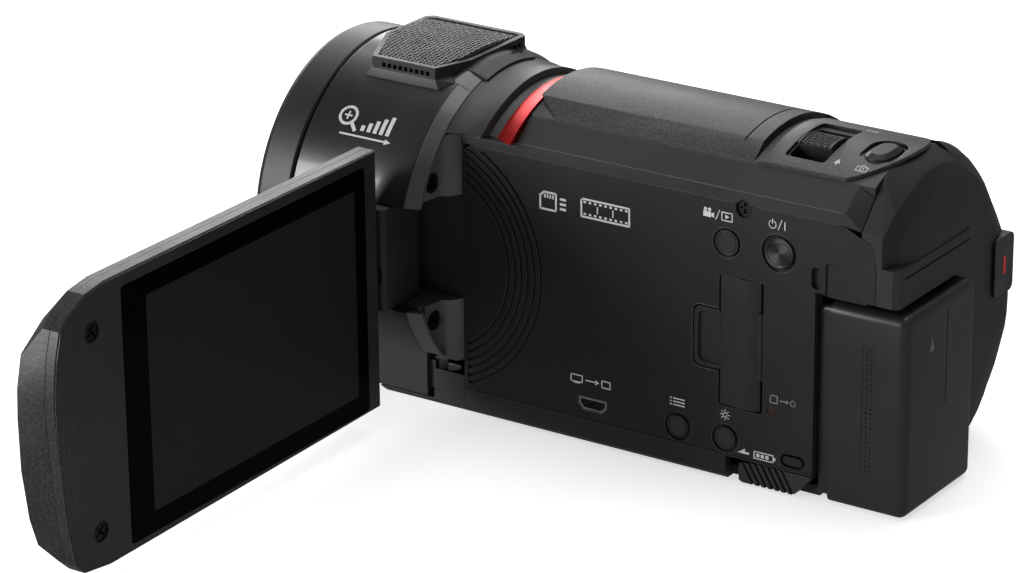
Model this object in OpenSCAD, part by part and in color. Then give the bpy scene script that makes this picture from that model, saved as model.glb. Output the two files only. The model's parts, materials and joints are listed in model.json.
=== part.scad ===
/* [Body] */
// X of the flat left side that the display folds against
side_x = 23.5; // [23.3:0.1:23.6]
// Y of the front edge of the flat left side
side_front = -22; // [-22.2:0.1:-22]
// Y of the wall that carries the battery
bay_y = 57.2; // [57:0.1:57.3]
// Y of the rearmost face of the body, above the battery
rear_y = 74.3; // [74:0.1:74.6]
// Underside height of the overhang above the battery
overhang_z = 42.3; // [42.2:0.1:42.6]
// Height of the seam along the left side of the top cover
seam_z = 56.5; // [56.3:0.1:56.6]
// Height of the ledge above that seam
ledge_z = 59; // [58.8:0.1:59]
// Wall thickness of the covers
wall = 2; // [1.8:0.1:2.2]
// X of the right-most point of the hand grip
grip_x = -33.5; // [-34:0.1:-33]
/* [Lens] */
// X of the lens axis
lens_x = 5; // [5:0.1:5.1]
// Height of the lens axis
lens_z = 35.2; // [35.1:0.1:35.3]
// Outer radius of the lens barrel
barrel_r = 33; // [32.9:0.1:33.1]
// Y of the front of the barrel
barrel_front = -62.5; // [-63:0.1:-62]
// Radius of the 49 mm accessory thread in the front ring
filter_r = 24.5; // [24.4:0.1:24.6]
/* [Display] */
// Length of the display from its hinge edge to its free edge
lcd_len = 96.8; // [96:0.1:97.2]
// Thickness of the display
lcd_thick = 8.5; // [8.3:0.1:8.5]
// Length of the visible picture, three inches across the diagonal
picture_w = 63.4; // [63:0.1:63.6]
// Height of the visible picture
picture_h = 42.3; // [42:0.1:42.4]
// Radius of the upright hinge pin
pin_r = 2; // [1.9:0.05:2]
// Radius of the tilt shaft
shaft_r = 2.5; // [2.4:0.05:2.5]
// Radial running clearance of pins and buttons
fit = 0.06; // [0.04:0.01:0.08]
/* [Controls] */
// Radius of the mode button
mode_r = 2.5; // [2.4:0.1:2.5]
// Radius of the power button
power_r = 3; // [2.9:0.1:3]
// Radius of the two small buttons near the lower edge
small_r = 2.2; // [2.1:0.1:2.2]
// Width of the battery
battery_w = 26.7; // [26:0.1:26.7]
// Height of the battery
battery_h = 40.5; // [39.5:0.1:40.5]
// Radius of the tapped hole of the quarter-inch tripod socket
tripod_r = 2.6; // [2.5:0.05:2.65]
/* [Hidden] */
$fn = 64;
eps = 0.02;
gap = 0.3;
cover_r = barrel_r - 1.9;
plate_r = barrel_r - 0.45;
deck_r = barrel_r - 1.2;
neck_r = barrel_r - 1.7;
band_y = -24;
jack_at = [-37, 6];
plate_edge = [14.8, 66.25];
shoulder = [18.8, 63];
swing = [28.25, -34.25];
lcd_in = 40.7;
lcd_out = lcd_in + lcd_len;
lcd_back_y = swing[1] - lcd_thick / 2;
lcd_face_y = swing[1] + lcd_thick / 2;
tilt_z = 31.95;
picture = [48, 10.2];
door = [36.6, 15.3, 46, 41.6];
door_pin = [22.9, 45.35];
jack_pin = [22.75, -43.5];
zoom_pivot = [9.4, 58];
zoom_r = 9.2;
photo_at = [9, 62.9];
mic_z = 68.8;
pocket = [24.3, 45.9];
groove_centre = [-31, 32];
mode_at = [38, 48.2];
power_at = [49.3, 48.4];
menu_at = [27.5, 8.5];
light_at = [38.1, 8.5];
battery_x = 22.7;
rec_at = [-27.5, 29.5];
tube_r = 15.6;
tube_y = -8;
rod_x = 12.2;
rod_r = 0.8;

function arc(c, r, a, b, n = 8) =
  [for (i = [0:n]) let (t = a + (b - a) * i / n) [c[0] + r * cos(t), c[1] + r * sin(t)]];
function bez(a, b, c, d, n = 8) =
  [for (i = [0:n]) let (t = i / n, s = 1 - t)
    s * s * s * a + 3 * s * s * t * b + 3 * s * t * t * c + t * t * t * d];
function rounded(a, b, r, n = 5) = concat(
  arc([b[0] - r, b[1] - r], r, 0, 90, n), arc([a[0] + r, b[1] - r], r, 90, 180, n),
  arc([a[0] + r, a[1] + r], r, 180, 270, n), arc([b[0] - r, a[1] + r], r, 270, 360, n));
function flip(list) = [for (i = [len(list) - 1:-1:0]) list[i]];

// Outline of the hand grip, from an angle on the crown down to the underside. e insets it.
function crown(e, t) = [lens_x - (barrel_r - e) * sin(t), lens_z + (barrel_r - e) * cos(t)];
function over(r, x) = [x, lens_z + sqrt(r * r - (x - lens_x) * (x - lens_x))];
function grip(e, low = 0) = let (top = crown(e, 60), down = [-cos(60), -sin(60)])
  concat(
    bez(top, top + 8 * down, [grip_x + e, 40], [grip_x + e, 27]),
    bez([grip_x + e, 26], [grip_x + e, 12 + low / 2], [-28 + e, 3 + e + low], [-19, e + low]));

module along_x(a, b) { translate([a, 0, 0]) rotate([90, 0, 90]) linear_extrude(b - a) children(); }
module along_y(a, b) { translate([0, b, 0]) rotate([90, 0, 0]) linear_extrude(b - a) children(); }
module along_z(a, b) { translate([0, 0, a]) linear_extrude(b - a) children(); }
module about_lens(profile) {
  translate([lens_x, 0, lens_z]) rotate([-90, 0, 0]) rotate_extrude($fn = 96) polygon(profile);
}
module lens_disc(r) { translate([lens_x, lens_z]) circle(r, $fn = 96); }
module pad(a, b, r = 0.6) { polygon(rounded(a, b, r)); }
module drill_x(at, r, a, b) { along_x(a, b) translate(at) circle(r); }
module cross_slot(size, deep) {
  for (turn = [0, 90]) rotate(turn) translate([-size / 2, -size / 10, -deep]) cube([size, size / 5,
    deep + 1]);
}
module screw(r, deep) {
  difference() {
    union() {
      translate([0, 0, -1]) cylinder(r = r, h = 1);
      translate([0, 0, -deep]) cylinder(r = r * 0.55, h = deep);
    }
    cross_slot(r * 1.3, 0.5);
  }
}

// Body shells
module chassis() color("dimgray") {
  difference() {
    along_x(15.6, 17) pad([0, 6], [54.5, 55], 2);
    along_x(15, 18) for (y = [14, 33]) translate([y, 30]) circle(6);
  }
  along_z(3, 4.2) difference() {
    pad([-17, -20], [17, 54.5], 2);
    circle(5.1);
  }
  along_y(52, 53.4) pad([-20, 4.2], [15.6, 52], 2);
  along_y(-20, -18.6) difference() {
    pad([-17, 4.2], [20, 54], 2);
    lens_disc(tube_r + 0.1);
  }
}
module main_board() color("darkgreen") {
  along_x(13.2, 14.6) pad([3, 9], [50, 52], 1);
  along_x(11.4, 13.2) for (y = [8, 24, 36]) translate([y, 22]) square(10);
  along_x(14.6, 15.6) for (y = [5, 45]) translate([y, 42]) square(3);
}
module side_outline() {
  polygon(concat(
    [[side_front, 5.3], [bay_y, 5.3], [bay_y, overhang_z], [69.8, overhang_z], [69.8, 49.4],
     [69, 53.6], [63, seam_z - 0.1]],
    arc([side_front + 3, seam_z - 3.1], 3, 90, 180, 5)));
}
function socket(e) = [[5 + e, 9.6 - e], [11.2 - e, 9.6 - e], [11.2 - e, 8.3 + e / 2], [10.2 - e / 2,
  7.2 + e],
  [6 + e / 2, 7.2 + e], [5 + e, 8.3 + e / 2]];
module left_panel() color("#1c1c1e") difference() {
  along_x(side_x - wall, side_x) side_outline();
  for (b = [[mode_at, mode_r, 0.5], [power_at, power_r, 0.8], [menu_at, small_r, 0.8], [light_at,
    small_r, 0.8]]) {
    drill_x(b[0], b[1] + fit, 15, 25);
    drill_x(b[0], b[1] + b[2], side_x - 0.5, 25);
  }
  along_x(side_x - 3, side_x + 1) {
    pad([door[0] - 0.2, door[1] - 0.2], [door[2] + 0.2, door[3] + 0.2], 0.8);
    polygon(socket(0));
    translate([48.1, 16.4]) circle(0.9);
    translate([41.6, 55.6]) circle(1.75);
  }
  along_x(side_x - 1.1, side_x + 1) pad([30.7, 22], [38, 34.7], 1.6);
  along_x(side_x - 0.9, side_x + 1) {
    difference() {
      pad([50.3, 5.7], [55.5, 8.4], 1.3);
      pad([50.8, 6.2], [55, 7.9], 0.84);
    }
    pad([56.3, 42.9], [58.5, 47.3], 1.05);
  }
  along_x(side_x - 0.35, side_x + 1) pad([59.3, 41], [63, 48.6], 0.8);
  along_x(side_x - 0.5, side_x + 1) intersection() {
    translate([side_front + 0.8, 6.5]) square([20, 49]);
    for (k = [0:5]) translate(groove_centre) difference() {
      circle(20.2 + 1.5 * k, $fn = 96);
      circle(19.4 + 1.5 * k, $fn = 96);
    }
  }
}
module shoulder_shape(drop) {
  polygon([[side_x - wall, seam_z - drop / 4], [side_x, seam_z - drop / 4], [side_x, ledge_z - drop * 1.7],
    [shoulder[0], shoulder[1] - drop], [17, 61 - drop / 2], [side_x - wall, ledge_z - 1.2 - drop]]);
}
module top_cover() color("#242426") difference() {
  union() {
    along_y(-9.2, 66.6) {
      difference() {
        intersection() { lens_disc(cover_r); translate([-10, 50]) square([28.6, 30]); }
        lens_disc(cover_r - wall);
      }
    }
    along_y(-9.2, 66.6) polygon(concat([crown(0, 60)], [for (t = [56:-6:26]) crown(barrel_r - plate_r, t)],
      [over(plate_r, -8.95), over(barrel_r - wall - 0.2, -8.95)], [for (t = [30:5:60]) crown(wall + 0.2,
        t)]));
    along_y(-9.2, 63.2) shoulder_shape(0);
    hull() {
      along_y(63.1, 63.2) shoulder_shape(0);
      along_y(66.5, 66.6) shoulder_shape(1.6);
    }
    along_y(side_front, -9.2) polygon([[side_x - wall, seam_z], [side_x, seam_z], [side_x, ledge_z - 0.8],
      [side_x - 0.8, ledge_z], [side_x - wall, ledge_z]]);
    along_x(6.9, 11.9) for (y = [44.2, 54.6]) translate([y, 56]) square([1.6, 9.2]);
  }
  along_z(60, 70) pad([3.6, 46.2], [15.2, 54.4], 0.8);
  drill_x([41.6, 55.6], 1.75, 20, 25);
  along_y(40, 60) translate(zoom_pivot) circle(1.2 + fit);
  along_z(60, 70) photo_outline(0.4);
  along_y(41, 67) polygon(concat([for (t = [25:5:55]) crown(barrel_r - deck_r, t)], [crown(-6, 55),
    crown(-6, 25)]));
}
module photo_outline(e) {
  hull() for (s = [-1, 1]) translate([photo_at[0] + 1.7 * s, photo_at[1]]) circle(2.6 + e, $fn = 32);
}
module top_plate() color("#343437") difference() {
  intersection() {
    along_y(-9.15, 40.6) intersection() {
      difference() { lens_disc(plate_r); lens_disc(cover_r + 0.02); }
      polygon([[-8.9, 50], [-8.9, 72], [plate_edge[0], 72], plate_edge, [shoulder[0] - 0.2, 63.1], [18.6,
        50]]);
    }
    along_x(-10, 20) polygon([[-10, 72], [-10, 66.8], [-9, 66.2], [-3, 63], [-3, 50], [41, 50], [41, 72]]);
  }
  about_lens([[plate_r - 0.3, 36.7], [plate_r + 1, 36.7], [plate_r + 1, 37.05], [plate_r - 0.3, 37.05]]);
}
module deck_plan() {
  intersection() {
    union() {
      translate([-10, 41.2]) square([30, 12]);
      translate([lens_x, 52.8]) circle(15.6, $fn = 96);
    }
    polygon([[-8.9, 41.2], [-8.9, 66.5], [-4.4, 66.5], [-4.4, 72], [18.6, 72], [18.6, 41.2]]);
  }
}
module deck() color("#2c2c2f") difference() {
  intersection() {
    along_z(55, 70) deck_plan();
    along_y(41.2, 72) difference() {
      lens_disc(deck_r);
      lens_disc(cover_r + 0.02);
    }
  }
  about_lens([[deck_r - 0.35, 41], [deck_r + 1, 41], [deck_r + 1, 43.2], [deck_r, 42.8], [deck_r - 0.3,
    41.9]]);
  along_z(55, 70) pad([1.2, 45.8], [16.2, 54.4], 0.8);
  along_z(55, 70) photo_outline(0.1);
  along_z(66.1, 70) photo_outline(1.1);
}
// Slice of the cover above the battery, as a list of X and Z corners at one Y
module rear_slice(y, corners) { along_y(y - 0.1, y) polygon(corners); }
module rear_cover() color("#1f1f21") difference() {
  union() {
    along_z(overhang_z, 49.72) polygon([[-4.5, 66.7], [side_x, 66.7], [side_x, 73.3], [side_x - 0.5,
      rear_y + 0.3],
      [-4.5, rear_y + 0.3]]);
    hull() {
      rear_slice(66.8, concat([[-4.5, 49.6], [side_x, 49.6], [side_x, 56.1], [18.8, 61.1]],
        [for (t = [-20:5:15]) crown(barrel_r - cover_r + 0.1, t)], [over(cover_r - 0.1, -4.5)]));
      rear_slice(69.2, [[-4.5, 49.6], [side_x, 49.6], [side_x, 55.7], [18.8, 60], [14, 62.3], [8, 64.9],
        [3, 65.1],
        [-4.5, 63.8]]);
      rear_slice(71, [[-4.5, 49.6], [side_x, 49.6], [side_x, 55.4], [18.8, 59.2], [13, 61.8], [7, 63.6],
        [2, 63.8],
        [-4.5, 62.4]]);
      rear_slice(73, [[-4.5, 49.6], [20.6, 49.6], [20.2, 54.6], [17, 57.4], [5, 60.8], [-4.5, 59.6]]);
      rear_slice(rear_y, [[-4.5, 48], [16.6, 48], [15.6, 51], [4, 53.6], [-4.5, 53.2]]);
    }
  }
  along_x(side_x - wall - 0.1, side_x + 1) polygon([[60, 40], [69.9, 40], [69.9, 49.45], [69.1, 53.75],
    [63, 56.6],
    [60, 56.6]]);
  along_y(60, 71.4) polygon([[-2.5, 44.6], [18, 44.6], [18, 56], [14, 58.4], [-2.5, 58.4]]);
  translate([-6, rear_y - 0.2, 47.6]) cube([27, 1, 0.35]);
}
module grip_cover() color("#1f1f21") {
  difference() {
    along_y(side_front, 66.55) polygon(concat(grip(0), flip(grip(wall))));
    strap_lugs();
  }
}
module grip_slice(y, e, low) {
  along_y(y - 0.1, y) polygon(concat([for (t = [22:6:54]) crown(1.1 + 0.6 * e, t)], grip(e, low),
    [[-4.7, e + low], over(barrel_r - 1.1 - 0.6 * e, -4.7)]));
}
module grip_rear() color("#1a1a1c") difference() {
  hull() {
    grip_slice(66.72, 0.1, 1);
    grip_slice(68.2, 1.4, 4);
    grip_slice(69.8, 3.6, 9);
    grip_slice(71.2, 7, 14);
  }
  along_y(60, 68.4) polygon([[-7, 14], [-22, 14], [-29.6, 24], [-29.6, 38], [-20, 52], [-7, 60]]);
  along_y(60, 80) pad([rec_at[0] - 0.1, rec_at[1] - 0.1], [rec_at[0] + 7.6, rec_at[1] + 12.1], 1.5);
}
module grip_front() color("#1f1f21") difference() {
  hull() {
    along_y(side_front - 0.2, side_front - 0.1) polygon(concat(grip(0), [[-19, 10], [-19, 40]]));
    along_y(-47, -46.9) polygon(concat(arc([lens_x, lens_z], barrel_r + 0.5, 150, 225, 8), [[-16, 20],
      [-16, 40]]));
  }
  along_y(-60, -20) lens_disc(barrel_r + 0.1);
  translate([-18.95, -60, -1]) cube([40, 50, 12.3]);
  strap_lugs();
}
module bottom_cover() color("#222224") difference() {
  along_y(side_front, bay_y) polygon([[-18.9, 0], [side_x - 1, 0], [side_x, 1], [side_x, 5.2],
    [side_x - wall, 5.2], [side_x - wall, wall], [-18.9, wall]]);
  translate([20.4, 38.2, -1]) cube([5, 21, 5.9]);
  cylinder(r = 5.5, h = 9, center = true);
  for (p = [[-12, -16], [-12, 48], [17, -16], [12, 48]]) translate([p[0], p[1], -1]) cylinder(r = 1.6,
    h = 6);
}
module tripod_bush() color("silver") difference() {
  union() {
    cylinder(r = 5.46, h = 3);
    translate([0, 0, wall]) cylinder(r = 7.5, h = 1);
    translate([0, 0, 4.2]) cylinder(r = 5, h = 4);
    cylinder(r = 5, h = 6);
  }
  translate([0, 0, -1]) cylinder(r = tripod_r, h = 8);
}
module front_foot() color("#1f1f21") difference() {
  along_y(-46, side_front - 0.02) difference() {
    polygon([[-18.9, 0], [side_x - 1, 0], [side_x, 1], [side_x, 11.2], [-18.9, 11.2]]);
    lens_disc(barrel_r + 0.06);
  }
  along_x(-30, 30) polygon([[-47, -1], [-47, 6], [-45.4, 6], [-41, -1]]);
  along_x(side_x - 1.9, side_x + 1) pad([-44.4, 1.3], [-29.3, 12.5], 0.6);
  drill_x(jack_at, 2.75, 8, 30);
}

// Lens barrel
module side_cuts() {
  translate([side_x + 0.1, -41.5, pocket[0]]) cube([30, 30, pocket[1] - pocket[0]]);
  along_y(-46.1, -20) polygon([[side_x - 1.6, -2], [side_x - 1.6, 11.3], [side_x, 11.3], [30.4, 14.2],
    [45, 14.2],
    [45, -2]]);
}
module barrel_cover() color("#161618") difference() {
  about_lens([[30.6, -54], [32.2, -54], [32.2, -53.5], [barrel_r, -53.4], [barrel_r, -27],
    [barrel_r - 1.1, band_y],
    [30.6, band_y]]);
  band_zone(0.05) about_lens([[30, -27.05], [barrel_r + 1, -27.05], [barrel_r + 1, band_y + 1], [30,
    band_y + 1]]);
  side_cuts();
  drill_x(jack_at, 2.75, 8, 30);
  along_z(55, 80) pad([-6, -46], [17, -31.5], 2);
}
module front_ring() color("#1c1c1e") {
  about_lens([[filter_r, barrel_front], [31.2, barrel_front], [32.4, barrel_front + 0.5],
    [barrel_r, barrel_front + 1.6], [barrel_r, -54.5], [32.6, -54.1], [29, -54.1], [29, -56.9],
      [filter_r, -56.9]]);
}
module band_zone(e) {
  intersection() {
    children();
    along_y(-40, -10) polygon([[17.2 - e, lens_z], [17.2 - e, 80], [60, 80], [60, 6], [17.2 - e, 6]]);
  }
}
module bevel_band() color("#555558") difference() {
  band_zone(0) about_lens([[31.25, -27], [barrel_r - 0.05, -27], [barrel_r - 1.1, band_y], [31.25,
    band_y]]);
  side_cuts();
}
module arch_clip() {
  along_y(-30, 0) polygon([[-24, 52.3], [-30, 90], [60, 90], [60, ledge_z + 0.05], [5, ledge_z + 0.05],
    [5, 52.3]]);
}
module neck() color("#19191b") intersection() {
  about_lens([[28.4, -26.9], [30.5, -26.9], [30.5, band_y + 0.05], [neck_r + 0.5, band_y + 0.05],
    [neck_r + 0.4, -22],
    [neck_r, -20.5], [neck_r, -16.4], [neck_r - 1, -15.8], [neck_r - 1.3, -15.8], [neck_r - 1.3, -13.7],
      [28.4, -13.7]]);
  arch_clip();
}
module red_ring() color("#c8201c") intersection() {
  about_lens([[28.4, -13.65], [neck_r - 1.1, -13.65], [neck_r + 0.3, -9.3], [28.4, -9.3]]);
  arch_clip();
}
module lens_hood() color("#0c0c0d") about_lens([[20.9, -51], [24.2, -56.8], [28.97, -56.8], [28.97,
  -54.06], [30.5, -54.06],
  [30.5, -51]]);
module front_lens() color("#20303a") {
  about_lens(concat([[0, -47], [20.7, -47], [20.7, -50.6]],
    [for (i = [1:7]) [20.7 * (1 - i / 7), -50.6 - 3.6 * (1 - pow(1 - i / 7, 2))]]));
}
module lens_tube() color("#111112") {
  about_lens([[20.8, -50.9], [24, -50.9], [24, -44.5], [16, -43.2], [tube_r, -43.2], [tube_r, tube_y],
    [5, tube_y],
    [5, tube_y - 1.4], [tube_r - 1.2, tube_y - 1.4], [tube_r - 1.2, -42], [10.4, -42], [10.4, -43.2],
      [20.8, -46]]);
}
module rod_places() {
  for (s = [-1, 1]) translate([lens_x + rod_x * s, lens_z]) children();
}
module guide_rods() color("silver") along_y(-42, tube_y - 1.4) rod_places() circle(rod_r, $fn = 32);
module image_sensor() color("#2a3a2c") {
  along_y(tube_y + eps, tube_y + 2) pad([-5, 26.2], [15, 44.2], 1);
  along_y(tube_y + 2, tube_y + 5) pad([-3, 29], [13, 41], 1);
}
module lens_cell(a, b, bore) {
  along_y(a, b) difference() {
    union() {
      lens_disc(9.6);
      rod_places() circle(1.9, $fn = 32);
      translate([lens_x - rod_x, lens_z - 1.2]) square([2 * rod_x, 2.4]);
    }
    lens_disc(bore);
    rod_places() circle(rod_r + fit, $fn = 32);
  }
}
module zoom_group() color("#202022") {
  lens_cell(-39, -34, 8);
  about_lens([[0, -38.4], [8, -37.6], [8, -35.4], [0, -34.6]]);
}
module focus_group() color("#202022") {
  lens_cell(-20, -16, 7);
  about_lens([[0, -19.4], [7, -18.6], [7, -17.4], [0, -16.6]]);
}

// Microphone
function mic_plan(e) = [[19.2 - e, -46 + e / 2], [19.2 - e, -31 - e / 2], [11, -28 - e], [-7.2, -27.6 - e],
  [-8.4 + e, -29 - e], [-8.4 + e, -50.4 + e], [-7.2 + e / 2, -51.7 + e], [6, -52 + e]];
module mic_housing() color("#1a1a1c") difference() {
  union() {
    along_z(60, mic_z) polygon(mic_plan(0));
    hull() {
      along_z(60, 64.8) polygon([[19.9, -47.2], [19.9, -29.8], [13.6, -22.4], [-3, -22.4], [-9, -28],
        [-9, -50],
        [-7, -52.4], [6.4, -52.7]]);
      along_z(66.5, 66.6) polygon(mic_plan(-0.2));
    }
    intersection() {
      about_lens([[28, -29], [barrel_r + 0.1, -29], [barrel_r + 0.1, -26.2], [neck_r + 1.2, -24],
        [neck_r + 0.9, -22.8], [28, -22.4]]);
      along_z(60, 80) polygon([[13, -40], [13, -22.9], [12, -22.3], [-3, -22.3], [-9, -28], [-9, -40]]);
    }
  }
  about_lens([[0, -60], [barrel_r + 0.02, -60], [barrel_r + 0.02, -27], [barrel_r - 1.08, band_y],
    [neck_r + 0.42, -22], [neck_r + 0.42, -20], [0, -20]]);
  along_z(mic_z - 1.6, 80) polygon(mic_plan(1.2));
  along_z(62, 80) polygon(mic_plan(3.2));
  for (k = [0:8]) translate([17, -43.6 + 1.3 * k, 66.9]) cube([5, 0.8, 0.9]);
  for (k = [0:7]) translate([-5.6 + 1.5 * k, -30, 66.9]) cube([1, 5, 0.9]);
}
module mic_grille() color("#3c3c40") difference() {
  intersection() {
    along_z(60, 72) polygon(mic_plan(1.2 + eps));
    translate([5.4, 0, mic_z - 82.6]) rotate([90, 0, 0]) cylinder(r = 83, h = 100, $fn = 200);
  }
  translate([5.4, 0, mic_z - 83.4]) rotate([90, 0, 0]) cylinder(r = 82.9, h = 100, $fn = 200);
}
module mic_capsules() color("#6a6a6c") {
  along_z(62.5, 63.3) pad([-6.8, -45.6], [16.8, -32], 1);
  for (p = [[5, -35], [-2.5, -37], [12.5, -37], [-1, -43], [11, -43]]) translate([p[0], p[1],
    63.3]) difference() {
    cylinder(r = 2.4, h = 2.2);
    translate([0, 0, 1.9]) cylinder(r = 0.6, h = 2);
  }
}

// Display hinge
module bracket(low, high, plate) color("#2a2a2c") difference() {
  union() {
    intersection() {
      along_z(low, high) polygon(concat([[side_x - 2.2, -26.98], [side_x - 2.2, side_front - 0.02],
        [side_x - 0.1, side_front - 0.02]], bez([side_x + 0.1, -22.1], [24.9, -22.5], [26.2, -23.6],
          [26.7, -25.1], 6),
        [[31.3, -25.7], [31.3, -26.98]]));
      along_y(-30, -20) lens_disc(31.2);
    }
    intersection() {
      along_z(plate[0], plate[1]) translate([side_x - 2.2, -40]) square([10.5, 13.2]);
      along_y(-45, -20) lens_disc(30.5);
    }
  }
  translate([swing[0], swing[1], 0]) cylinder(r = pin_r + fit, h = 60);
  translate([28.6, -25.3, plate[0] < 40 ? 20.6 : 49.2]) rotate([-90, 0, 0]) translate([0, 0,
    -1.4]) cylinder(r = 2.05, h = 4);
}
module bracket_upper() bracket(pocket[1] + 0.05, ledge_z - 0.4, [pocket[1] + 0.05, 48.6]);
module bracket_lower() bracket(11.3, pocket[0] - 0.05, [21.6, pocket[0] - 0.05]);
module bracket_screws() color("#3a3a3c") {
  for (z = [20.6, 49.2]) translate([28.6, -25.6, z]) rotate([-90, 45, 0]) screw(2, 1.08);
}
module hinge_base() color("#202022") {
  along_x(side_x - 2.2, side_x - 0.05) translate([-41.4, pocket[0] - 0.04])
    square([41.4 + side_front - 0.04, pocket[1] - pocket[0] + 0.08]);
}
module hinge_block() color("#2a2a2c") difference() {
  along_z(pocket[0] + gap, pocket[1] - gap) {
    translate(swing) circle(4.2);
    polygon(concat([[swing[0], lcd_back_y + 0.05]], arc([37.6, lcd_back_y + 1.25], 1.2, -90, 0, 5),
      arc([37.6, lcd_face_y - 1.25], 1.2, 0, 90, 5), [[swing[0], lcd_face_y - 0.05]]));
  }
  translate([swing[0], swing[1], 0]) cylinder(r = pin_r, h = 60);
  along_x(33, 42) translate([swing[1], tilt_z]) circle(shaft_r);
}
module hinge_pin() color("silver") translate([swing[0], swing[1], 21.7]) cylinder(r = pin_r, h = 26.8);
module tilt_shaft() color("#2e2e30") {
  along_x(33, lcd_in + 2.8) translate([swing[1], tilt_z]) circle(shaft_r);
  along_x(38.82, 40.5) translate([swing[1], tilt_z]) circle(3.7);
}

// Display
function lcd_outline(e) = [[lcd_in + e, 5.5 + e], [124, 4.5 + e], [131.3, 5.5 + e], [134 - e, 8],
  [135.9 - e, 17],
  [137 - e, 30], [lcd_out - e, 40], [136.7 - e, 47.5], [135.1 - e, 53.2], [132.5 - e, 55.7 - e / 2],
    [128 - e, 58 - e],
  [122.5, 58.9 - e], [lcd_in + e, 58.6 - e]];
function lcd_rear(e) = [[lcd_in + e, 8 + e], [124, 7 + e], [131, 7.6 + e], [134.6 - e, 10.4], [136.5 - e,
  16],
  [138 - e, 26], [138.2 - e, 36], [137.9 - e, 41.6], [136.4 - e, 47.8], [130 - e, 52.6 - e], [124, 55 - e],
  [lcd_in + e, 55.8 - e]];
module lcd_slice(y, e) { along_y(y - 0.1, y) polygon(lcd_outline(e)); }
module lcd_back() color("#1e1e20") difference() {
  hull() { along_y(lcd_back_y, lcd_back_y + 0.1) polygon(lcd_rear(0.3)); along_y(-38.2,
    -38.1) polygon(lcd_rear(0));
    lcd_slice(-34, 0); lcd_slice(-32.4, 0); }
  along_y(-36.9, -30) pad([lcd_in + 2.9, 9.2], [125, 53.3], 1.2);
  along_x(40, lcd_in + 3) translate([swing[1], tilt_z]) circle(shaft_r + fit);
}
module lcd_bezel() color("#2b2b2e") difference() {
  hull() { lcd_slice(-32.26, 0); lcd_slice(lcd_face_y - 0.4, 0); lcd_slice(lcd_face_y, 0.35); }
  along_y(-33, -31.2) pad([lcd_in + 2.9, 9.2], [125, 53.3], 1.2);
  along_x(40, lcd_in + 3) translate([swing[1], tilt_z]) circle(shaft_r + fit);
  along_y(-33, -29) pad([47.2, 9.4], [112.2, 53.4], 0.6);
  along_y(-30.9, -29) pad([44.4, 6.1], [118.3, 56.4], 0.9);
  for (z = [12, 50.6]) along_y(-31.5, -29) translate([126.7, z]) circle(2.05);
}
module lcd_glass() color("#050506") along_y(-30.9, lcd_face_y) pad([44.6, 6.3], [118.1, 56.2], 0.8);
module lcd_display() color("#1a1a20") {
  along_y(-33.4, -31) pad([picture[0] - 0.4, picture[1] - 0.4],
    [picture[0] + picture_w + 0.4, picture[1] + picture_h + 0.4], 0.3);
  along_y(-36.9, -35.3) pad([48, 11.5], [118, 52], 1);
  along_y(-35.3, -33.4) pad([50, 12], [110, 50], 1);
}
module lcd_screws() color("#3a3a3c") {
  for (z = [12, 50.6]) translate([126.7, lcd_face_y - 0.35, z]) rotate([-90, 45, 0]) screw(2, 1.1);
}

// Fixed pieces of the left side and the underside
module card_reader() color("#3a3a3d") difference() {
  along_x(17.02, 20.2) pad([32.6, 14], [46.4, 42.4], 0.6);
  translate([18, 36, 16]) cube([3, 2.3, 24.4]);
}
module hdmi_port() color("silver") difference() {
  along_x(side_x - 6, side_x - 0.05) polygon(socket(0));
  along_x(side_x - 5.4, side_x) polygon(socket(0.3));
}
module access_led() color("#5a1512") drill_x([48.1, 16.4], 0.88, side_x - 3, side_x - 0.1);
module remote_jack() color("silver") difference() {
  drill_x(jack_at, 2.7, 13, side_x - 1.94);
  drill_x(jack_at, 1.25, 14, side_x);
}
module battery_plate() color("#28282a") difference() {
  union() {
    along_y(55.4, bay_y + 0.1) pad([-4.6, 6], [side_x - wall - 0.1, overhang_z - 0.2], 0.8);
    along_x(-4.6, side_x - 2.1) translate([bay_y, 41]) square([9.6, 1.2]);
  }
  for (k = [0:4]) translate([6.4 + 2.4 * k, 56.6, 26]) cube([1.2, 2, 7]);
}
module case_screws() color("#3a3a3c") {
  for (p = [[-12, -16], [-12, 48], [17, -16], [12, 48]]) translate([p[0], p[1], 0.3]) rotate([180, 0,
    0]) screw(1.55, 2.7);
  translate([side_x - 0.5, 41.6, 55.6]) rotate([0, 90, 0]) screw(1.7, 1.4);
}

// Hand strap, on the far side
module strap_lugs() color("#2a2a2c") {
  for (y = [-30, 52]) translate([0, y, 0]) difference() {
    along_y(-3, 3) pad([grip_x + (y < 0 ? 1 : -1.5), 16], [grip_x + (y < 0 ? 5.5 : 3), 40], 2);
  }
}
module hand_strap() color("#151516") along_z(16.6, 39.4) intersection() {
  polygon(concat([for (i = [0:24]) let (t = i / 24) [grip_x - 15 * sin(180 * t) - 1.6, -26.6 + 75 * t]],
    [for (i = [24:-1:0]) let (t = i / 24) [grip_x - 13 * sin(180 * t) - 0.2, -26.6 + 75 * t]]));
}
module hand_pad() color("#222224") along_z(10, 45) polygon(concat(
  [for (i = [3:21]) let (t = i / 24) [grip_x - 12.7 * sin(180 * t) - 0.2, -26.6 + 75 * t]],
  [for (i = [21:-1:3]) let (t = i / 24) [grip_x - 9 * sin(180 * t) + 0.9, -26.6 + 75 * t]]));

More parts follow.
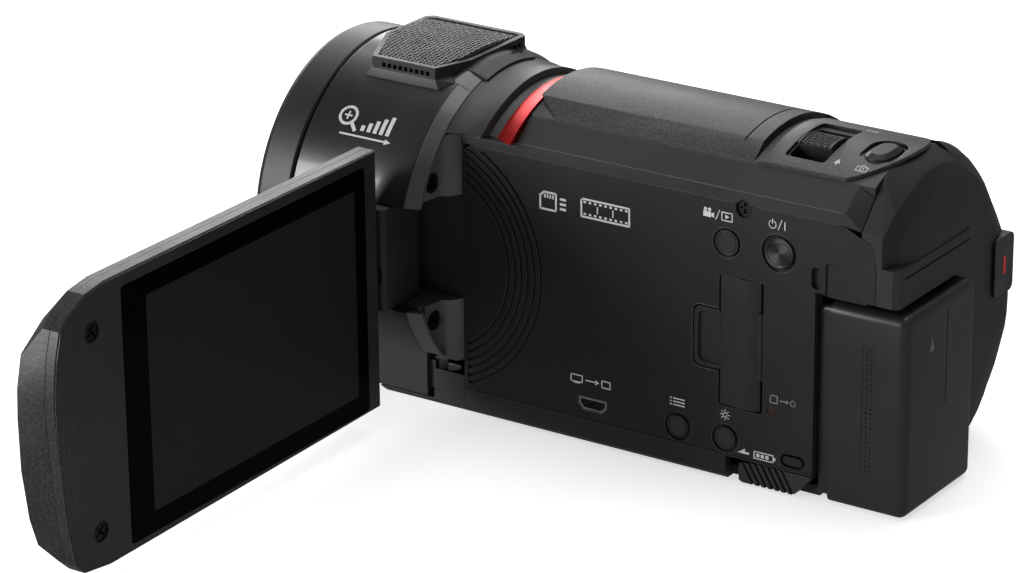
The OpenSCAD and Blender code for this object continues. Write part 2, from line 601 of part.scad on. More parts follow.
// Moving controls
module side_button(at, r, proud) {
  difference() {
    union() {
      drill_x(at, r, 17.8, side_x + proud);
      drill_x(at, r + 0.7, 17.8, side_x - wall - 0.9);
    }
    along_x(side_x + proud - 0.12, side_x + 2) translate(at) difference() { circle(r * 0.86);
    circle(r * 0.8); }
  }
}
module mode_button() color("#3a3a3c") side_button(mode_at, mode_r, 0.1);
module power_button() color("#8a8a8c") side_button(power_at, power_r, 0.1);
module menu_button() color("#3a3a3c") side_button(menu_at, small_r, 0.1);
module light_button() color("#3a3a3c") side_button(light_at, small_r, 0.1);
module card_door() color("#2a2a2d") {
  along_z(door[1], door[3]) polygon(concat([[side_x - 1.9, 36.75], [side_x - 0.1, 36.75]],
    bez([side_x - 0.1, 39.5], [side_x + 0.3, 41], [side_x + 0.3, 43.2], [side_x - 0.3, 44.8], 6),
    [[side_x - 0.5, 45.35], [side_x - 1.9, 45.35]]));
  along_z(22, 35.4) translate(door_pin) circle(0.75);
  difference() {
    along_x(side_x - 0.9, side_x + 0.05) pad([31, 22.3], [37.4, 34.4], 1.5);
    along_x(side_x - 0.5, side_x + 1) pad([31.9, 23.2], [38, 33.5], 1.2);
  }
}
module jack_cover() color("#242427") {
  along_x(side_x - 1.5, side_x) pad([-43.5, 1.5], [-31, 11], 0.3);
  along_x(side_x - 1.5, side_x - 1) pad([-31.6, 3], [-29.6, 9], 0.3);
  along_z(1.6, 10.9) translate(jack_pin) circle(0.7);
}
module battery() color("#1c1c1e") difference() {
  union() {
    hull() for (x = [battery_x - battery_w, battery_x], y = [59.9, 76.5], z = [0, battery_h]) {
      dx = x > 0 ? -2 : 2;
      dy = y > 70 ? -2 : 0.1;
      dz = z > 1 ? -2 : 2;
      translate([x + dx, y + dy, z + dz]) {
        if (dy < 0) sphere(r = 2, $fn = 24);
        else rotate([-90, 0, 0]) cylinder(r = 2, h = 0.1, $fn = 24);
      }
    }
    along_y(bay_y + 0.4, 60) pad([battery_x - battery_w + 0.8, 1], [battery_x - 0.8, battery_h - 0.8], 1.2);
  }
  translate([7.4, 76.25, 19]) cube([0.35, 1, 19]);
}
module battery_lever() color("#2d2d30") difference() {
  along_x(20.6, side_x + 0.1) polygon([[41.2, 4.2], [41.2, 0.7], [42, 0.3], [53.2, 0.3], [57, 4.4], [57,
    4.7], [45, 4.7]]);
  for (k = [0:6]) translate([side_x + 0.1, 43.4 + 1.45 * k, 2.2]) rotate([30, 0, 0]) cube([1, 0.55, 8],
    center = true);
}
module zoom_lever() color("#48484b") {
  along_y(46.8, 53.9) difference() {
    intersection() {
      translate(zoom_pivot) circle(zoom_r);
      polygon([[zoom_pivot[0] - 0.6, zoom_pivot[1]], [zoom_pivot[0] - 4.2, 70], [zoom_pivot[0] + 4.2, 70],
        [zoom_pivot[0] + 0.6, zoom_pivot[1]]]);
    }
    for (k = [-4:4]) translate(zoom_pivot) rotate(5 * k) translate([-0.15, zoom_r - 0.3]) square([0.3, 1]);
  }
  along_y(44.4, 56) translate(zoom_pivot) circle(1.2);
  along_y(46.8, 53.9) translate(zoom_pivot) circle(2.2);
}
module photo_button() color("#8f8f92") hull() {
  along_z(62, 66.5) photo_outline(0);
  along_z(67.2, 67.3) photo_outline(-0.9);
}
module rec_button() color("#3c3c3f") {
  along_y(65.4, 71.9) pad(rec_at, [rec_at[0] + 7.5, rec_at[1] + 12], 1.4);
}

chassis();
main_board();
left_panel();
top_cover();
top_plate();
deck();
rear_cover();
grip_cover();
grip_rear();
grip_front();
bottom_cover();
tripod_bush();
front_foot();
barrel_cover();
front_ring();
bevel_band();
neck();
red_ring();
lens_hood();
front_lens();
lens_tube();
guide_rods();
image_sensor();
mic_housing();
mic_grille();
mic_capsules();
bracket_upper();
bracket_lower();
bracket_screws();
hinge_base();
card_reader();
hdmi_port();
access_led();
remote_jack();
battery_plate();
case_screws();
strap_lugs();
hand_strap();
hand_pad();
hinge_block();
hinge_pin();
tilt_shaft();
lcd_back();
lcd_bezel();
lcd_glass();
lcd_display();
lcd_screws();
mode_button();
power_button();
menu_button();
light_button();
card_door();
jack_cover();
battery();
battery_lever();
zoom_lever();
photo_button();
rec_button();
zoom_group();
focus_group();
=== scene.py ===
"""Dresses the camcorder's frame: its finishes, small fittings, printed symbols, soft goods and studio."""

import json
import logging
import math
from dataclasses import dataclass, field
from enum import Enum
from typing import Callable, Iterable, Sequence

import bmesh
import bpy
from mathutils import Matrix, Vector


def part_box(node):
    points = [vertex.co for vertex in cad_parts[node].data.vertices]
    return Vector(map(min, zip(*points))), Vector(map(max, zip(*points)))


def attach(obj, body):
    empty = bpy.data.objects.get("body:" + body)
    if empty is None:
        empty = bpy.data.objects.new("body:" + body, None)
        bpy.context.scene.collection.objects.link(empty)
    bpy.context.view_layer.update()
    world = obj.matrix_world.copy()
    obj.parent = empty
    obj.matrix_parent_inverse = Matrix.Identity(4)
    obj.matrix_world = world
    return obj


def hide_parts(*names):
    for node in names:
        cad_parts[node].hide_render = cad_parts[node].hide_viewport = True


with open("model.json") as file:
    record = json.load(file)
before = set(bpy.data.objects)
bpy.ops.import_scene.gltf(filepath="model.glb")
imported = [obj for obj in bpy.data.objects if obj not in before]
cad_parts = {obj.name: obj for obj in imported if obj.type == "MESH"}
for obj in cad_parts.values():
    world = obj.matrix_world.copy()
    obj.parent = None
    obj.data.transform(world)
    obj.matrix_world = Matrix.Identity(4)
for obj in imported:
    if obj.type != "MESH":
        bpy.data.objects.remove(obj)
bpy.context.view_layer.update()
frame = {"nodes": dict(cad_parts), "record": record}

LOG = logging.getLogger("camcorder")
MM = 0.001
WELD_DISTANCE = 0.000004
Flat = tuple[float, float]
Colour = tuple[float, float, float]
Placer = Callable[[float, float, float], Vector]


class Symbol(Enum):
    """The printed symbols of the left side and the deck."""

    CARD = "card"
    FILM = "film"
    SHOOT_PLAY = "shoot_play"
    POWER = "power"
    SCREEN = "screen"
    MENU = "menu"
    SUN = "sun"
    ACCESS = "access"
    BATTERY = "battery"
    TREES = "trees"
    TREE = "tree"
    STILL = "still"
    LOUPE = "loupe"


# ---------------------------------------------------------------- finishes


class Recipe:
    """One material's node tree, built step by step round a Principled shader."""

    def __init__(self, name: str, tone: Colour, roughness: float, **sockets: float) -> None:
        """Starts a material.

        Args:
            name: Name of the material.
            tone: Linear base colour.
            roughness: Roughness of the surface.
            **sockets: Other shader sockets, spaces written as underscores.
        """
        self.material = bpy.data.materials.new(name)
        self.material.use_nodes = True
        self.tree = self.material.node_tree
        self.shader = self.tree.nodes["Principled BSDF"]
        self.tone = tone
        self.set("Base Color", (*tone, 1.0))
        self.set("Roughness", roughness)
        for key, value in sockets.items():
            self.set(key.replace("_", " "), value)
        self.material.diffuse_color = (*tone, 1.0)

    def set(self, socket: str, value: object) -> None:
        """Sets one of the shader's own sockets."""
        self.shader.inputs[socket].default_value = value

    def node(self, kind: str, **options: object) -> bpy.types.Node:
        """Adds a node.

        Args:
            kind: Node type without its ShaderNode prefix.
            **options: Properties set on the node.

        Returns:
            The new node.
        """
        made = self.tree.nodes.new("ShaderNode" + kind)
        for key, value in options.items():
            setattr(made, key, value)
        return made

    def link(self, source: bpy.types.NodeSocket, target: bpy.types.NodeSocket) -> None:
        """Joins two sockets."""
        self.tree.links.new(source, target)

    def place(self, stretch: Sequence[float] = (1, 1, 1)) -> bpy.types.NodeSocket:
        """Gives positions on the piece in metres.

        Args:
            stretch: Factor along each axis.

        Returns:
            A vector socket.
        """
        where = self.node("TexCoord")
        mapping = self.node("Mapping")
        mapping.inputs["Scale"].default_value = stretch
        self.link(where.outputs["Object"], mapping.inputs["Vector"])
        return mapping.outputs["Vector"]

    def noise(
        self, size: float, detail: float = 2.0, stretch: Sequence[float] = (1, 1, 1)
    ) -> bpy.types.NodeSocket:
        """Makes soft noise.

        Args:
            size: Size of its blotches in millimetres.
            detail: Octaves of detail.
            stretch: Factor along each axis.

        Returns:
            The noise as a number from 0 to 1.
        """
        made = self.node("TexNoise")
        made.inputs["Scale"].default_value = 1.0 / (size * MM)
        made.inputs["Detail"].default_value = detail
        self.link(self.place(stretch), made.inputs["Vector"])
        return made.outputs["Fac"]

    def cells(self, size: float, feature: str = "F1", output: str = "Distance") -> bpy.types.NodeSocket:
        """Makes a cell pattern.

        Args:
            size: Size of a cell in millimetres.
            feature: Voronoi feature.
            output: Which output is used.

        Returns:
            The pattern's socket.
        """
        made = self.node("TexVoronoi", feature=feature)
        made.inputs["Scale"].default_value = 1.0 / (size * MM)
        self.link(self.place(), made.inputs["Vector"])
        return made.outputs[output]

    def spread(
        self, source: bpy.types.NodeSocket, start: float, end: float, low: float, high: float
    ) -> bpy.types.NodeSocket:
        """Maps a number from one range to another.

        Args:
            source: The number.
            start: Where the incoming range starts.
            end: Where the incoming range ends.
            low: Value at the start.
            high: Value at the end.

        Returns:
            The mapped number.
        """
        made = self.node("MapRange")
        for socket, value in zip(("From Min", "From Max", "To Min", "To Max"), (start, end, low, high)):
            made.inputs[socket].default_value = value
        self.link(source, made.inputs["Value"])
        return made.outputs["Result"]

    def maths(self, operation: str, first: bpy.types.NodeSocket, second: object = 0.0) -> bpy.types.NodeSocket:
        """Does one sum.

        Args:
            operation: Name of the operation.
            first: First number.
            second: Second number, a socket or a constant.

        Returns:
            The result.
        """
        made = self.node("Math", operation=operation)
        self.link(first, made.inputs[0])
        if isinstance(second, bpy.types.NodeSocket):
            self.link(second, made.inputs[1])
        else:
            made.inputs[1].default_value = second
        return made.outputs[0]

    def tint(self, factor: bpy.types.NodeSocket, stops: Sequence[tuple[float, Colour]]) -> None:
        """Colours the surface from a number.

        Args:
            factor: Number from 0 to 1.
            stops: Positions with their colours.
        """
        ramp = self.node("ValToRGB")
        band = ramp.color_ramp
        while len(band.elements) < len(stops):
            band.elements.new(0.5)
        for element, (at, colour) in zip(band.elements, stops):
            element.position = at
            element.color = (*colour, 1.0)
        self.link(factor, ramp.inputs["Fac"])
        self.link(ramp.outputs["Color"], self.shader.inputs["Base Color"])

    def shine(self, factor: bpy.types.NodeSocket, low: float, high: float) -> None:
        """Varies the roughness with a number from 0 to 1."""
        self.link(self.spread(factor, 0.25, 0.75, low, high), self.shader.inputs["Roughness"])

    def relief(self, height: bpy.types.NodeSocket, depth: float, soften: float = 0.0) -> None:
        """Raises the surface.

        Args:
            height: Height from 0 to 1.
            depth: Depth of the relief in millimetres.
            soften: Radius of the rounding seen on sharp edges, in millimetres.
        """
        bump = self.node("Bump")
        bump.inputs["Distance"].default_value = depth * MM
        bump.inputs["Strength"].default_value = 1.0
        self.link(height, bump.inputs["Height"])
        if soften > 0:
            rounding = self.node("Bevel", samples=4)
            rounding.inputs["Radius"].default_value = soften * MM
            self.link(rounding.outputs["Normal"], bump.inputs["Normal"])
        self.link(bump.outputs["Normal"], self.shader.inputs["Normal"])


def scaled(tone: Colour, factor: float) -> Colour:
    """Gives a colour made lighter or darker by a factor."""
    return tuple(min(1.0, channel * factor) for channel in tone)


@dataclass(frozen=True)
class MouldedPlastic:
    """Spark-eroded moulded plastic with a fine sparkling grain."""

    name: str
    tone: Colour
    roughness: float = 0.42
    grain: float = 0.32
    depth: float = 0.012
    speckle: float = 1.9
    edge: float = 0.25
    gloss: float = 0.5

    def material(self) -> bpy.types.Material:
        """Builds the material.

        Returns:
            The new material.
        """
        recipe = Recipe(self.name, self.tone, self.roughness, Specular_IOR_Level=self.gloss)
        grit = recipe.noise(self.grain, 3.0)
        blotch = recipe.noise(22.0, 3.0)
        sparks = recipe.cells(self.grain * 1.6, output="Distance")
        mixed = recipe.maths("ADD", recipe.maths("MULTIPLY", grit, 0.7), recipe.maths("MULTIPLY", blotch, 0.3))
        recipe.tint(
            mixed,
            [
                (0.32, scaled(self.tone, 0.75)),
                (0.5, self.tone),
                (0.62, scaled(self.tone, 1.0 + 0.5 * (self.speckle - 1))),
                (0.72, scaled(self.tone, self.speckle)),
            ],
        )
        recipe.shine(blotch, self.roughness - 0.06, self.roughness + 0.08)
        height = recipe.maths("ADD", grit, recipe.maths("MULTIPLY", sparks, 0.5))
        recipe.relief(height, self.depth, self.edge)
        return recipe.material


@dataclass(frozen=True)
class SatinLacquer:
    """Smooth dark lacquer with faint polishing marks and a clear coat."""

    name: str
    tone: Colour
    roughness: float = 0.28
    coat: float = 0.4
    edge: float = 0.3

    def material(self) -> bpy.types.Material:
        """Builds the material.

        Returns:
            The new material.
        """
        recipe = Recipe(self.name, self.tone, self.roughness, Coat_Weight=self.coat, Coat_Roughness=0.12)
        haze = recipe.noise(14.0, 4.0)
        fine = recipe.noise(0.25, 2.0)
        recipe.tint(haze, [(0.3, scaled(self.tone, 0.85)), (0.7, scaled(self.tone, 1.2))])
        recipe.shine(haze, self.roughness - 0.03, self.roughness + 0.04)
        recipe.relief(fine, 0.0012, self.edge)
        return recipe.material


@dataclass(frozen=True)
class Metal:
    """Turned, brushed or plated metal with fine tool marks."""

    name: str
    tone: Colour
    roughness: float = 0.3
    stretch: tuple[float, float, float] = (1.0, 0.05, 1.0)
    depth: float = 0.003

    def material(self) -> bpy.types.Material:
        """Builds the material.

        Returns:
            The new material.
        """
        recipe = Recipe(self.name, self.tone, self.roughness, Metallic=1.0)
        marks = recipe.noise(0.35, 3.0, self.stretch)
        haze = recipe.noise(6.0, 3.0)
        recipe.tint(haze, [(0.3, scaled(self.tone, 0.8)), (0.7, scaled(self.tone, 1.15))])
        recipe.shine(marks, self.roughness - 0.08, self.roughness + 0.1)
        recipe.relief(marks, self.depth, 0.15)
        return recipe.material


@dataclass(frozen=True)
class SpunMetal:
    """Metal turned on a lathe, with rings round a centre on the left side and a painted highlight sweeping round that
    centre.
    """

    name: str
    tone: Colour
    centre: tuple[float, float, float]
    pitch: float = 0.22
    roughness: float = 0.3

    def material(self) -> bpy.types.Material:
        """Builds the material.

        Returns:
            The new material.
        """
        recipe = Recipe(self.name, self.tone, self.roughness, Metallic=0.9)
        offset = recipe.node("VectorMath", operation="SUBTRACT")
        offset.inputs[1].default_value = tuple(value * MM for value in self.centre)
        recipe.link(recipe.place(), offset.inputs[0])
        split = recipe.node("SeparateXYZ")
        recipe.link(offset.outputs["Vector"], split.inputs["Vector"])
        across = recipe.maths("MULTIPLY", split.outputs["Y"], split.outputs["Y"])
        upward = recipe.maths("MULTIPLY", split.outputs["Z"], split.outputs["Z"])
        distance = recipe.maths("SQRT", recipe.maths("ADD", across, upward))
        rings = recipe.maths("SINE", recipe.maths("MULTIPLY", distance, 2 * math.pi / (self.pitch * MM)))
        turn = recipe.maths("ARCTAN2", split.outputs["Z"], split.outputs["Y"])
        # Lighter and darker sectors by angle round the centre: a painted highlight, the bow-tie reflection of spun
        # metal.
        painted_highlight_sweep = recipe.spread(recipe.maths("SINE", recipe.maths("MULTIPLY", turn, 2.0)), -1, 1, 0, 1)
        recipe.tint(painted_highlight_sweep, [(0.0, scaled(self.tone, 0.45)), (0.55, self.tone), (1.0, scaled(self.tone, 2.2))])
        recipe.relief(recipe.spread(rings, -1, 1, 0, 1), 0.01, 0.15)
        return recipe.material


@dataclass(frozen=True)
class CoverGlass:
    """Black coated cover glass with a faint haze."""

    name: str = "display cover glass"
    tone: Colour = (0.0008, 0.0008, 0.0009)

    def material(self) -> bpy.types.Material:
        """Builds the material.

        Returns:
            The new material.
        """
        recipe = Recipe(self.name, self.tone, 0.12, Specular_IOR_Level=0.03)
        haze = recipe.noise(30.0, 2.0)
        recipe.tint(haze, [(0.3, self.tone), (0.7, scaled(self.tone, 1.6))])
        recipe.shine(haze, 0.1, 0.16)
        recipe.relief(recipe.noise(9.0, 1.0), 0.001)
        return recipe.material


@dataclass(frozen=True)
class LiquidCrystal:
    """The unlit picture seen through the cover glass, with its fine grid of cells."""

    name: str = "unlit picture"
    tone: Colour = (0.0125, 0.0125, 0.0128)

    def material(self) -> bpy.types.Material:
        """Builds the material.

        Returns:
            The new material.
        """
        recipe = Recipe(self.name, self.tone, 0.3, Specular_IOR_Level=0.05)
        cells = recipe.cells(0.12, output="Distance")
        haze = recipe.noise(40.0, 1.0)
        mixed = recipe.maths("ADD", recipe.maths("MULTIPLY", cells, 0.2), recipe.maths("MULTIPLY", haze, 0.8))
        recipe.tint(mixed, [(0.3, scaled(self.tone, 0.93)), (0.7, scaled(self.tone, 1.08))])
        recipe.relief(cells, 0.001)
        return recipe.material


@dataclass(frozen=True)
class OpticalGlass:
    """Coated lens glass, with the coating's coloured reflection painted into its colour by viewing angle."""

    name: str
    tone: Colour
    cast: Colour = (0.30, 0.20, 0.55)

    def material(self) -> bpy.types.Material:
        """Builds the material.

        Returns:
            The new material.
        """
        recipe = Recipe(
            self.name, self.tone, 0.02, Specular_IOR_Level=0.8, Coat_Weight=1.0, Coat_Roughness=0.01,
            Transmission_Weight=0.75,
        )
        recipe.set("Coat Tint", (*self.cast, 1.0))
        # Colour shifts with the viewing angle, from dark head-on through purple to green at grazing: a painted
        # reflection of the coating's hues.
        facing = recipe.node("LayerWeight")
        facing.inputs["Blend"].default_value = 0.4
        recipe.tint(
            facing.outputs["Facing"], [(0.0, self.tone), (0.5, (0.10, 0.06, 0.20)), (1.0, (0.05, 0.16, 0.12))]
        )
        recipe.relief(recipe.noise(20.0, 1.0), 0.001)
        return recipe.material


@dataclass(frozen=True)
class Woven:
    """Woven cloth with crossing threads and a soft sheen."""

    name: str
    tone: Colour
    thread: float = 0.7
    depth: float = 0.12
    across: tuple[float, float, float] = (0.0, 1.0, 0.0)
    along: tuple[float, float, float] = (0.0, 0.0, 1.0)

    def material(self) -> bpy.types.Material:
        """Builds the material.

        Returns:
            The new material.
        """
        recipe = Recipe(self.name, self.tone, 0.82, Sheen_Weight=0.35, Sheen_Roughness=0.5)
        waves = []
        for direction in (self.across, self.along):
            line = recipe.node("VectorMath", operation="DOT_PRODUCT")
            line.inputs[1].default_value = direction
            recipe.link(recipe.place(), line.inputs[0])
            turned = recipe.maths("MULTIPLY", line.outputs["Value"], 2 * math.pi / (self.thread * MM))
            waves.append(recipe.maths("SINE", turned))
        crossing = recipe.spread(recipe.maths("MULTIPLY", waves[0], waves[1]), -1, 1, 0, 1)
        fuzz = recipe.noise(0.4, 3.0)
        wear = recipe.noise(16.0, 3.0)
        mixed = recipe.maths("ADD", recipe.maths("MULTIPLY", crossing, 0.55), recipe.maths("MULTIPLY", wear, 0.45))
        recipe.tint(mixed, [(0.2, scaled(self.tone, 0.5)), (0.6, self.tone), (0.85, scaled(self.tone, 1.8))])
        recipe.relief(recipe.maths("ADD", crossing, recipe.maths("MULTIPLY", fuzz, 0.5)), self.depth)
        return recipe.material


@dataclass(frozen=True)
class Leatherette:
    """Soft embossed pad skin with pebbled grain."""

    name: str
    tone: Colour

    def material(self) -> bpy.types.Material:
        """Builds the material.

        Returns:
            The new material.
        """
        recipe = Recipe(self.name, self.tone, 0.62, Sheen_Weight=0.15)
        pebbles = recipe.cells(1.1, feature="DISTANCE_TO_EDGE")
        fine = recipe.noise(0.4, 3.0)
        wear = recipe.noise(14.0, 3.0)
        recipe.tint(wear, [(0.3, scaled(self.tone, 0.7)), (0.7, scaled(self.tone, 1.5))])
        recipe.shine(wear, 0.52, 0.7)
        height = recipe.maths("ADD", recipe.spread(pebbles, 0, 0.25, 0, 1), recipe.maths("MULTIPLY", fine, 0.3))
        recipe.relief(height, 0.09)
        return recipe.material


@dataclass(frozen=True)
class Ink:
    """Pad-printed ink, slightly broken at its edges."""

    name: str
    tone: Colour

    def material(self) -> bpy.types.Material:
        """Builds the material.

        Returns:
            The new material.
        """
        recipe = Recipe(self.name, self.tone, 0.5, Specular_IOR_Level=0.2)
        spots = recipe.noise(0.3, 2.0)
        recipe.tint(spots, [(0.3, scaled(self.tone, 0.75)), (0.55, self.tone)])
        recipe.relief(spots, 0.003)
        return recipe.material


@dataclass(frozen=True)
class BackdropPaper:
    """Pale seamless studio paper."""

    name: str = "studio paper"
    tone: Colour = (0.9, 0.9, 0.9)

    def material(self) -> bpy.types.Material:
        """Builds the material.

        Returns:
            The new material.
        """
        recipe = Recipe(self.name, self.tone, 0.9, Specular_IOR_Level=0.0, Emission_Strength=0.62)
        recipe.set("Emission Color", (1.0, 1.0, 1.0, 1.0))
        fibre = recipe.noise(60.0, 4.0)
        recipe.tint(fibre, [(0.3, scaled(self.tone, 0.995)), (0.7, self.tone)])
        return recipe.material


@dataclass
class Finishes:
    """Every finish of the camcorder, made once and handed out by name."""

    made: dict[str, bpy.types.Material] = field(default_factory=dict)

    def __post_init__(self) -> None:
        """Builds all materials."""
        recipes = {
            "case": MouldedPlastic("case plastic", (0.0125, 0.0125, 0.0128), 0.5, 0.3, 0.008, 1.7),
            "side": MouldedPlastic(
                "left side plastic", (0.0115, 0.0115, 0.0118), 0.52, 0.26, 0.005, 1.5, gloss=0.35
            ),
            "top": MouldedPlastic("charcoal top plastic", (0.022, 0.022, 0.023), 0.46, 0.5, 0.03, 3.2),
            "display": MouldedPlastic("display shell plastic", (0.013, 0.013, 0.0135), 0.42, 0.5, 0.03, 3.0),
            "pack": MouldedPlastic("battery plastic", (0.017, 0.017, 0.0175), 0.34, 0.22, 0.003, 1.4),
            "key": MouldedPlastic("key plastic", (0.02, 0.02, 0.021), 0.4, 0.25, 0.004, 1.5),
            "grip": MouldedPlastic("grip skin", (0.012, 0.012, 0.0125), 0.6, 0.55, 0.05, 1.6),
            "barrel": SatinLacquer("barrel lacquer", (0.009, 0.009, 0.0095), 0.3, 0.3),
            # Far lighter than the barrel lacquer: a painted highlight for the light that the bevelled band catches.
            "band": SatinLacquer("bevelled band", (0.05, 0.05, 0.052), 0.33, 0.2),
            "neck": SatinLacquer("neck lacquer", (0.008, 0.008, 0.0085), 0.42, 0.0),
            "ring": SatinLacquer("front ring lacquer", (0.009, 0.009, 0.0095), 0.44, 0.0),
            "red": Metal("red anodised ring", (0.60, 0.022, 0.022), 0.36, (1, 1, 1), 0.002),
            # Lighter grey lacquer for the thin lines along seams, grooves, rims and edges: a painted highlight for the
            # light that those moulded edges catch. The same finish also colours the battery's triangle mark, the
            # underside ring mark and the display's back line.
            "edge": SatinLacquer("moulded edge", (0.075, 0.075, 0.077), 0.35, 0.3),
            # Lighter than the case: a painted highlight for the light that the bracket column catches.
            "bracket": SatinLacquer("bracket lacquer", (0.055, 0.055, 0.056), 0.36, 0.2),
            "glass": CoverGlass(),
            "picture": LiquidCrystal(),
            "lens": OpticalGlass("coated front lens", (0.02, 0.02, 0.03)),
            "inner": MouldedPlastic("anti-reflection black", (0.004, 0.004, 0.004), 0.8, 0.5, 0.03, 1.5),
            "mesh": Metal("dark wire mesh", (0.085, 0.085, 0.088), 0.4),
            "steel": Metal("plated steel", (0.55, 0.55, 0.56), 0.28),
            "dark_steel": Metal("black oxide steel", (0.05, 0.05, 0.053), 0.4),
            "cast": Metal("cast metal", (0.40, 0.40, 0.41), 0.5, (1, 1, 1), 0.02),
            "spun": SpunMetal("spun power key", (0.10, 0.10, 0.104), (0.0, 49.3, 48.4)),
            "satin_key": Metal("satin key metal", (0.13, 0.13, 0.134), 0.34, (1, 0.1, 1)),
            "board": SatinLacquer("board lacquer", (0.01, 0.09, 0.03), 0.3, 0.3),
            "rubber": MouldedPlastic("soft rubber", (0.014, 0.014, 0.0145), 0.58, 0.3, 0.01, 1.4),
            "belt": Woven("woven nylon belt", (0.016, 0.016, 0.017)),
            "pad": Leatherette("pad skin", (0.018, 0.018, 0.019)),
            "thread": Woven("sewing thread", (0.05, 0.05, 0.052), 0.25, 0.03),
            "lamp": SatinLacquer("lamp window", (0.03, 0.008, 0.008), 0.2, 0.5),
            "white_ink": Ink("white printing", (0.55, 0.55, 0.55)),
            "grey_ink": Ink("grey printing", (0.22, 0.22, 0.225)),
            "red_ink": Ink("red printing", (0.5, 0.02, 0.015)),
            "paper": BackdropPaper(),
        }
        for key, finish in recipes.items():
            self.made[key] = finish.material()

    def __getitem__(self, key: str) -> bpy.types.Material:
        """Gives one material."""
        return self.made[key]


# ---------------------------------------------------------------- workshop


class Workshop:
    """Makes mesh pieces, dresses frame nodes and reports what was made."""

    def __init__(self, finishes: Finishes) -> None:
        """Opens the workshop.

        Args:
            finishes: The finishes that pieces are given.
        """
        self.finishes = finishes
        self.slots = {part["node"]: part["material_slot"] for part in frame["record"]["subparts"]}
        bodies = frame["record"]["behaviour"]["bodies"]
        self.bodies = {node: body for body, nodes in bodies.items() for node in nodes}

    def dress(self, finish: str, nodes: Iterable[str], crisp: float = 28.0) -> None:
        """Gives frame nodes a finish and smooth shading.

        Args:
            finish: Key of the finish.
            nodes: Names of the frame nodes.
            crisp: Edges sharper than this many degrees stay crisp.
        """
        for name in nodes:
            obj = frame["nodes"][name]
            obj.data.materials.clear()
            obj.data.materials.append(self.finishes[finish])
            for polygon in obj.data.polygons:
                polygon.use_smooth = True
            weld = obj.modifiers.new("weld", "WELD")
            weld.merge_threshold = WELD_DISTANCE
            split = obj.modifiers.new("crisp edges", "EDGE_SPLIT")
            split.split_angle = math.radians(crisp)
            LOG.info("dressed %s in %s", name, finish)

    def add(
        self, name: str, mesh: bmesh.types.BMesh, finish: str, node: str, smooth: float = 35.0,
        replaces: Sequence[str] = (),
    ) -> bpy.types.Object:
        """Turns a mesh into a piece that rides with a frame node.

        Args:
            name: Name of the piece.
            mesh: Its mesh in metres, used up by the call.
            finish: Key of its finish.
            node: Frame node whose body the piece takes.
            smooth: Edges sharper than this many degrees stay crisp.
            replaces: Frame nodes that the piece stands for.

        Returns:
            The new object.
        """
        bmesh.ops.remove_doubles(mesh, verts=mesh.verts, dist=1e-7)
        bmesh.ops.recalc_face_normals(mesh, faces=mesh.faces)
        for face in mesh.faces:
            face.smooth = True
        for edge in mesh.edges:
            edge.smooth = not (edge.is_manifold and edge.calc_face_angle(0.0) > math.radians(smooth))
        data = bpy.data.meshes.new(name)
        mesh.to_mesh(data)
        mesh.free()
        data.materials.append(self.finishes[finish])
        obj = bpy.data.objects.new(name, data)
        bpy.context.scene.collection.objects.link(obj)
        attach(obj, self.bodies[node])
        if replaces:
            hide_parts(*replaces)
        LOG.info("made %s on %s", name, self.bodies[node])
        return obj


def to_metres(x: float, y: float, z: float) -> Vector:
    """Gives a point in metres from millimetres."""
    return Vector((x * MM, y * MM, z * MM))


def prism(mesh: bmesh.types.BMesh, outline: Sequence[Flat], place: Placer, low: float, high: float) -> None:
    """Adds a closed block over a flat outline.

    Args:
        mesh: Mesh that takes the block.
        outline: Corners in the plane of the outline, in millimetres.
        place: Turns plane coordinates and height into a point.
        low: Height of the bottom.
        high: Height of the top.
    """
    bottom = [mesh.verts.new(place(u, v, low)) for u, v in outline]
    top = [mesh.verts.new(place(u, v, high)) for u, v in outline]
    count = len(outline)
    for i in range(count):
        j = (i + 1) % count
        mesh.faces.new((bottom[i], bottom[j], top[j], top[i]))
    mesh.faces.new(top)
    mesh.faces.new(list(reversed(bottom)))


def tube(
    mesh: bmesh.types.BMesh, path: Sequence[Vector], radius: float, sides: int = 8, closed: bool = False
) -> None:
    """Adds a round bar along a path.

    Args:
        mesh: Mesh that takes the bar.
        path: Points of its middle, in metres.
        radius: Its radius in millimetres.
        sides: Corners of its section.
        closed: Whether the path returns to its start.
    """
    rings = []
    count = len(path)
    for i, point in enumerate(path):
        after = path[(i + 1) % count] if closed or i + 1 < count else point
        before = path[i - 1] if closed or i > 0 else point
        ahead = (after - before).normalized()
        side = ahead.cross(Vector((0, 0, 1)) if abs(ahead.z) < 0.9 else Vector((1, 0, 0))).normalized()
        up = ahead.cross(side).normalized()
        rings.append([
            mesh.verts.new(point + (side * math.cos(a) + up * math.sin(a)) * radius * MM)
            for a in (2 * math.pi * k / sides for k in range(sides))
        ])
    for i in range(count if closed else count - 1):
        first, second = rings[i], rings[(i + 1) % count]
        for k in range(sides):
            n = (k + 1) % sides
            mesh.faces.new((first[k], first[n], second[n], second[k]))
    if not closed:
        mesh.faces.new(list(reversed(rings[0])))
        mesh.faces.new(rings[-1])


def turned(mesh: bmesh.types.BMesh, profile: Sequence[Flat], place: Placer, steps: int = 64) -> None:
    """Adds a closed profile turned about an axis.

    Args:
        mesh: Mesh that takes the ring.
        profile: Radius and height of each corner, in millimetres.
        place: Turns two plane coordinates and a height into a point.
        steps: Steps round the axis.
    """
    rings = []
    for i in range(steps):
        angle = math.radians(360.0 * i / steps)
        rings.append([mesh.verts.new(place(r * math.cos(angle), r * math.sin(angle), h)) for r, h in profile])
    for i in range(steps):
        first, second = rings[i], rings[(i + 1) % steps]
        for k in range(len(profile)):
            n = (k + 1) % len(profile)
            mesh.faces.new((first[k], first[n], second[n], second[k]))


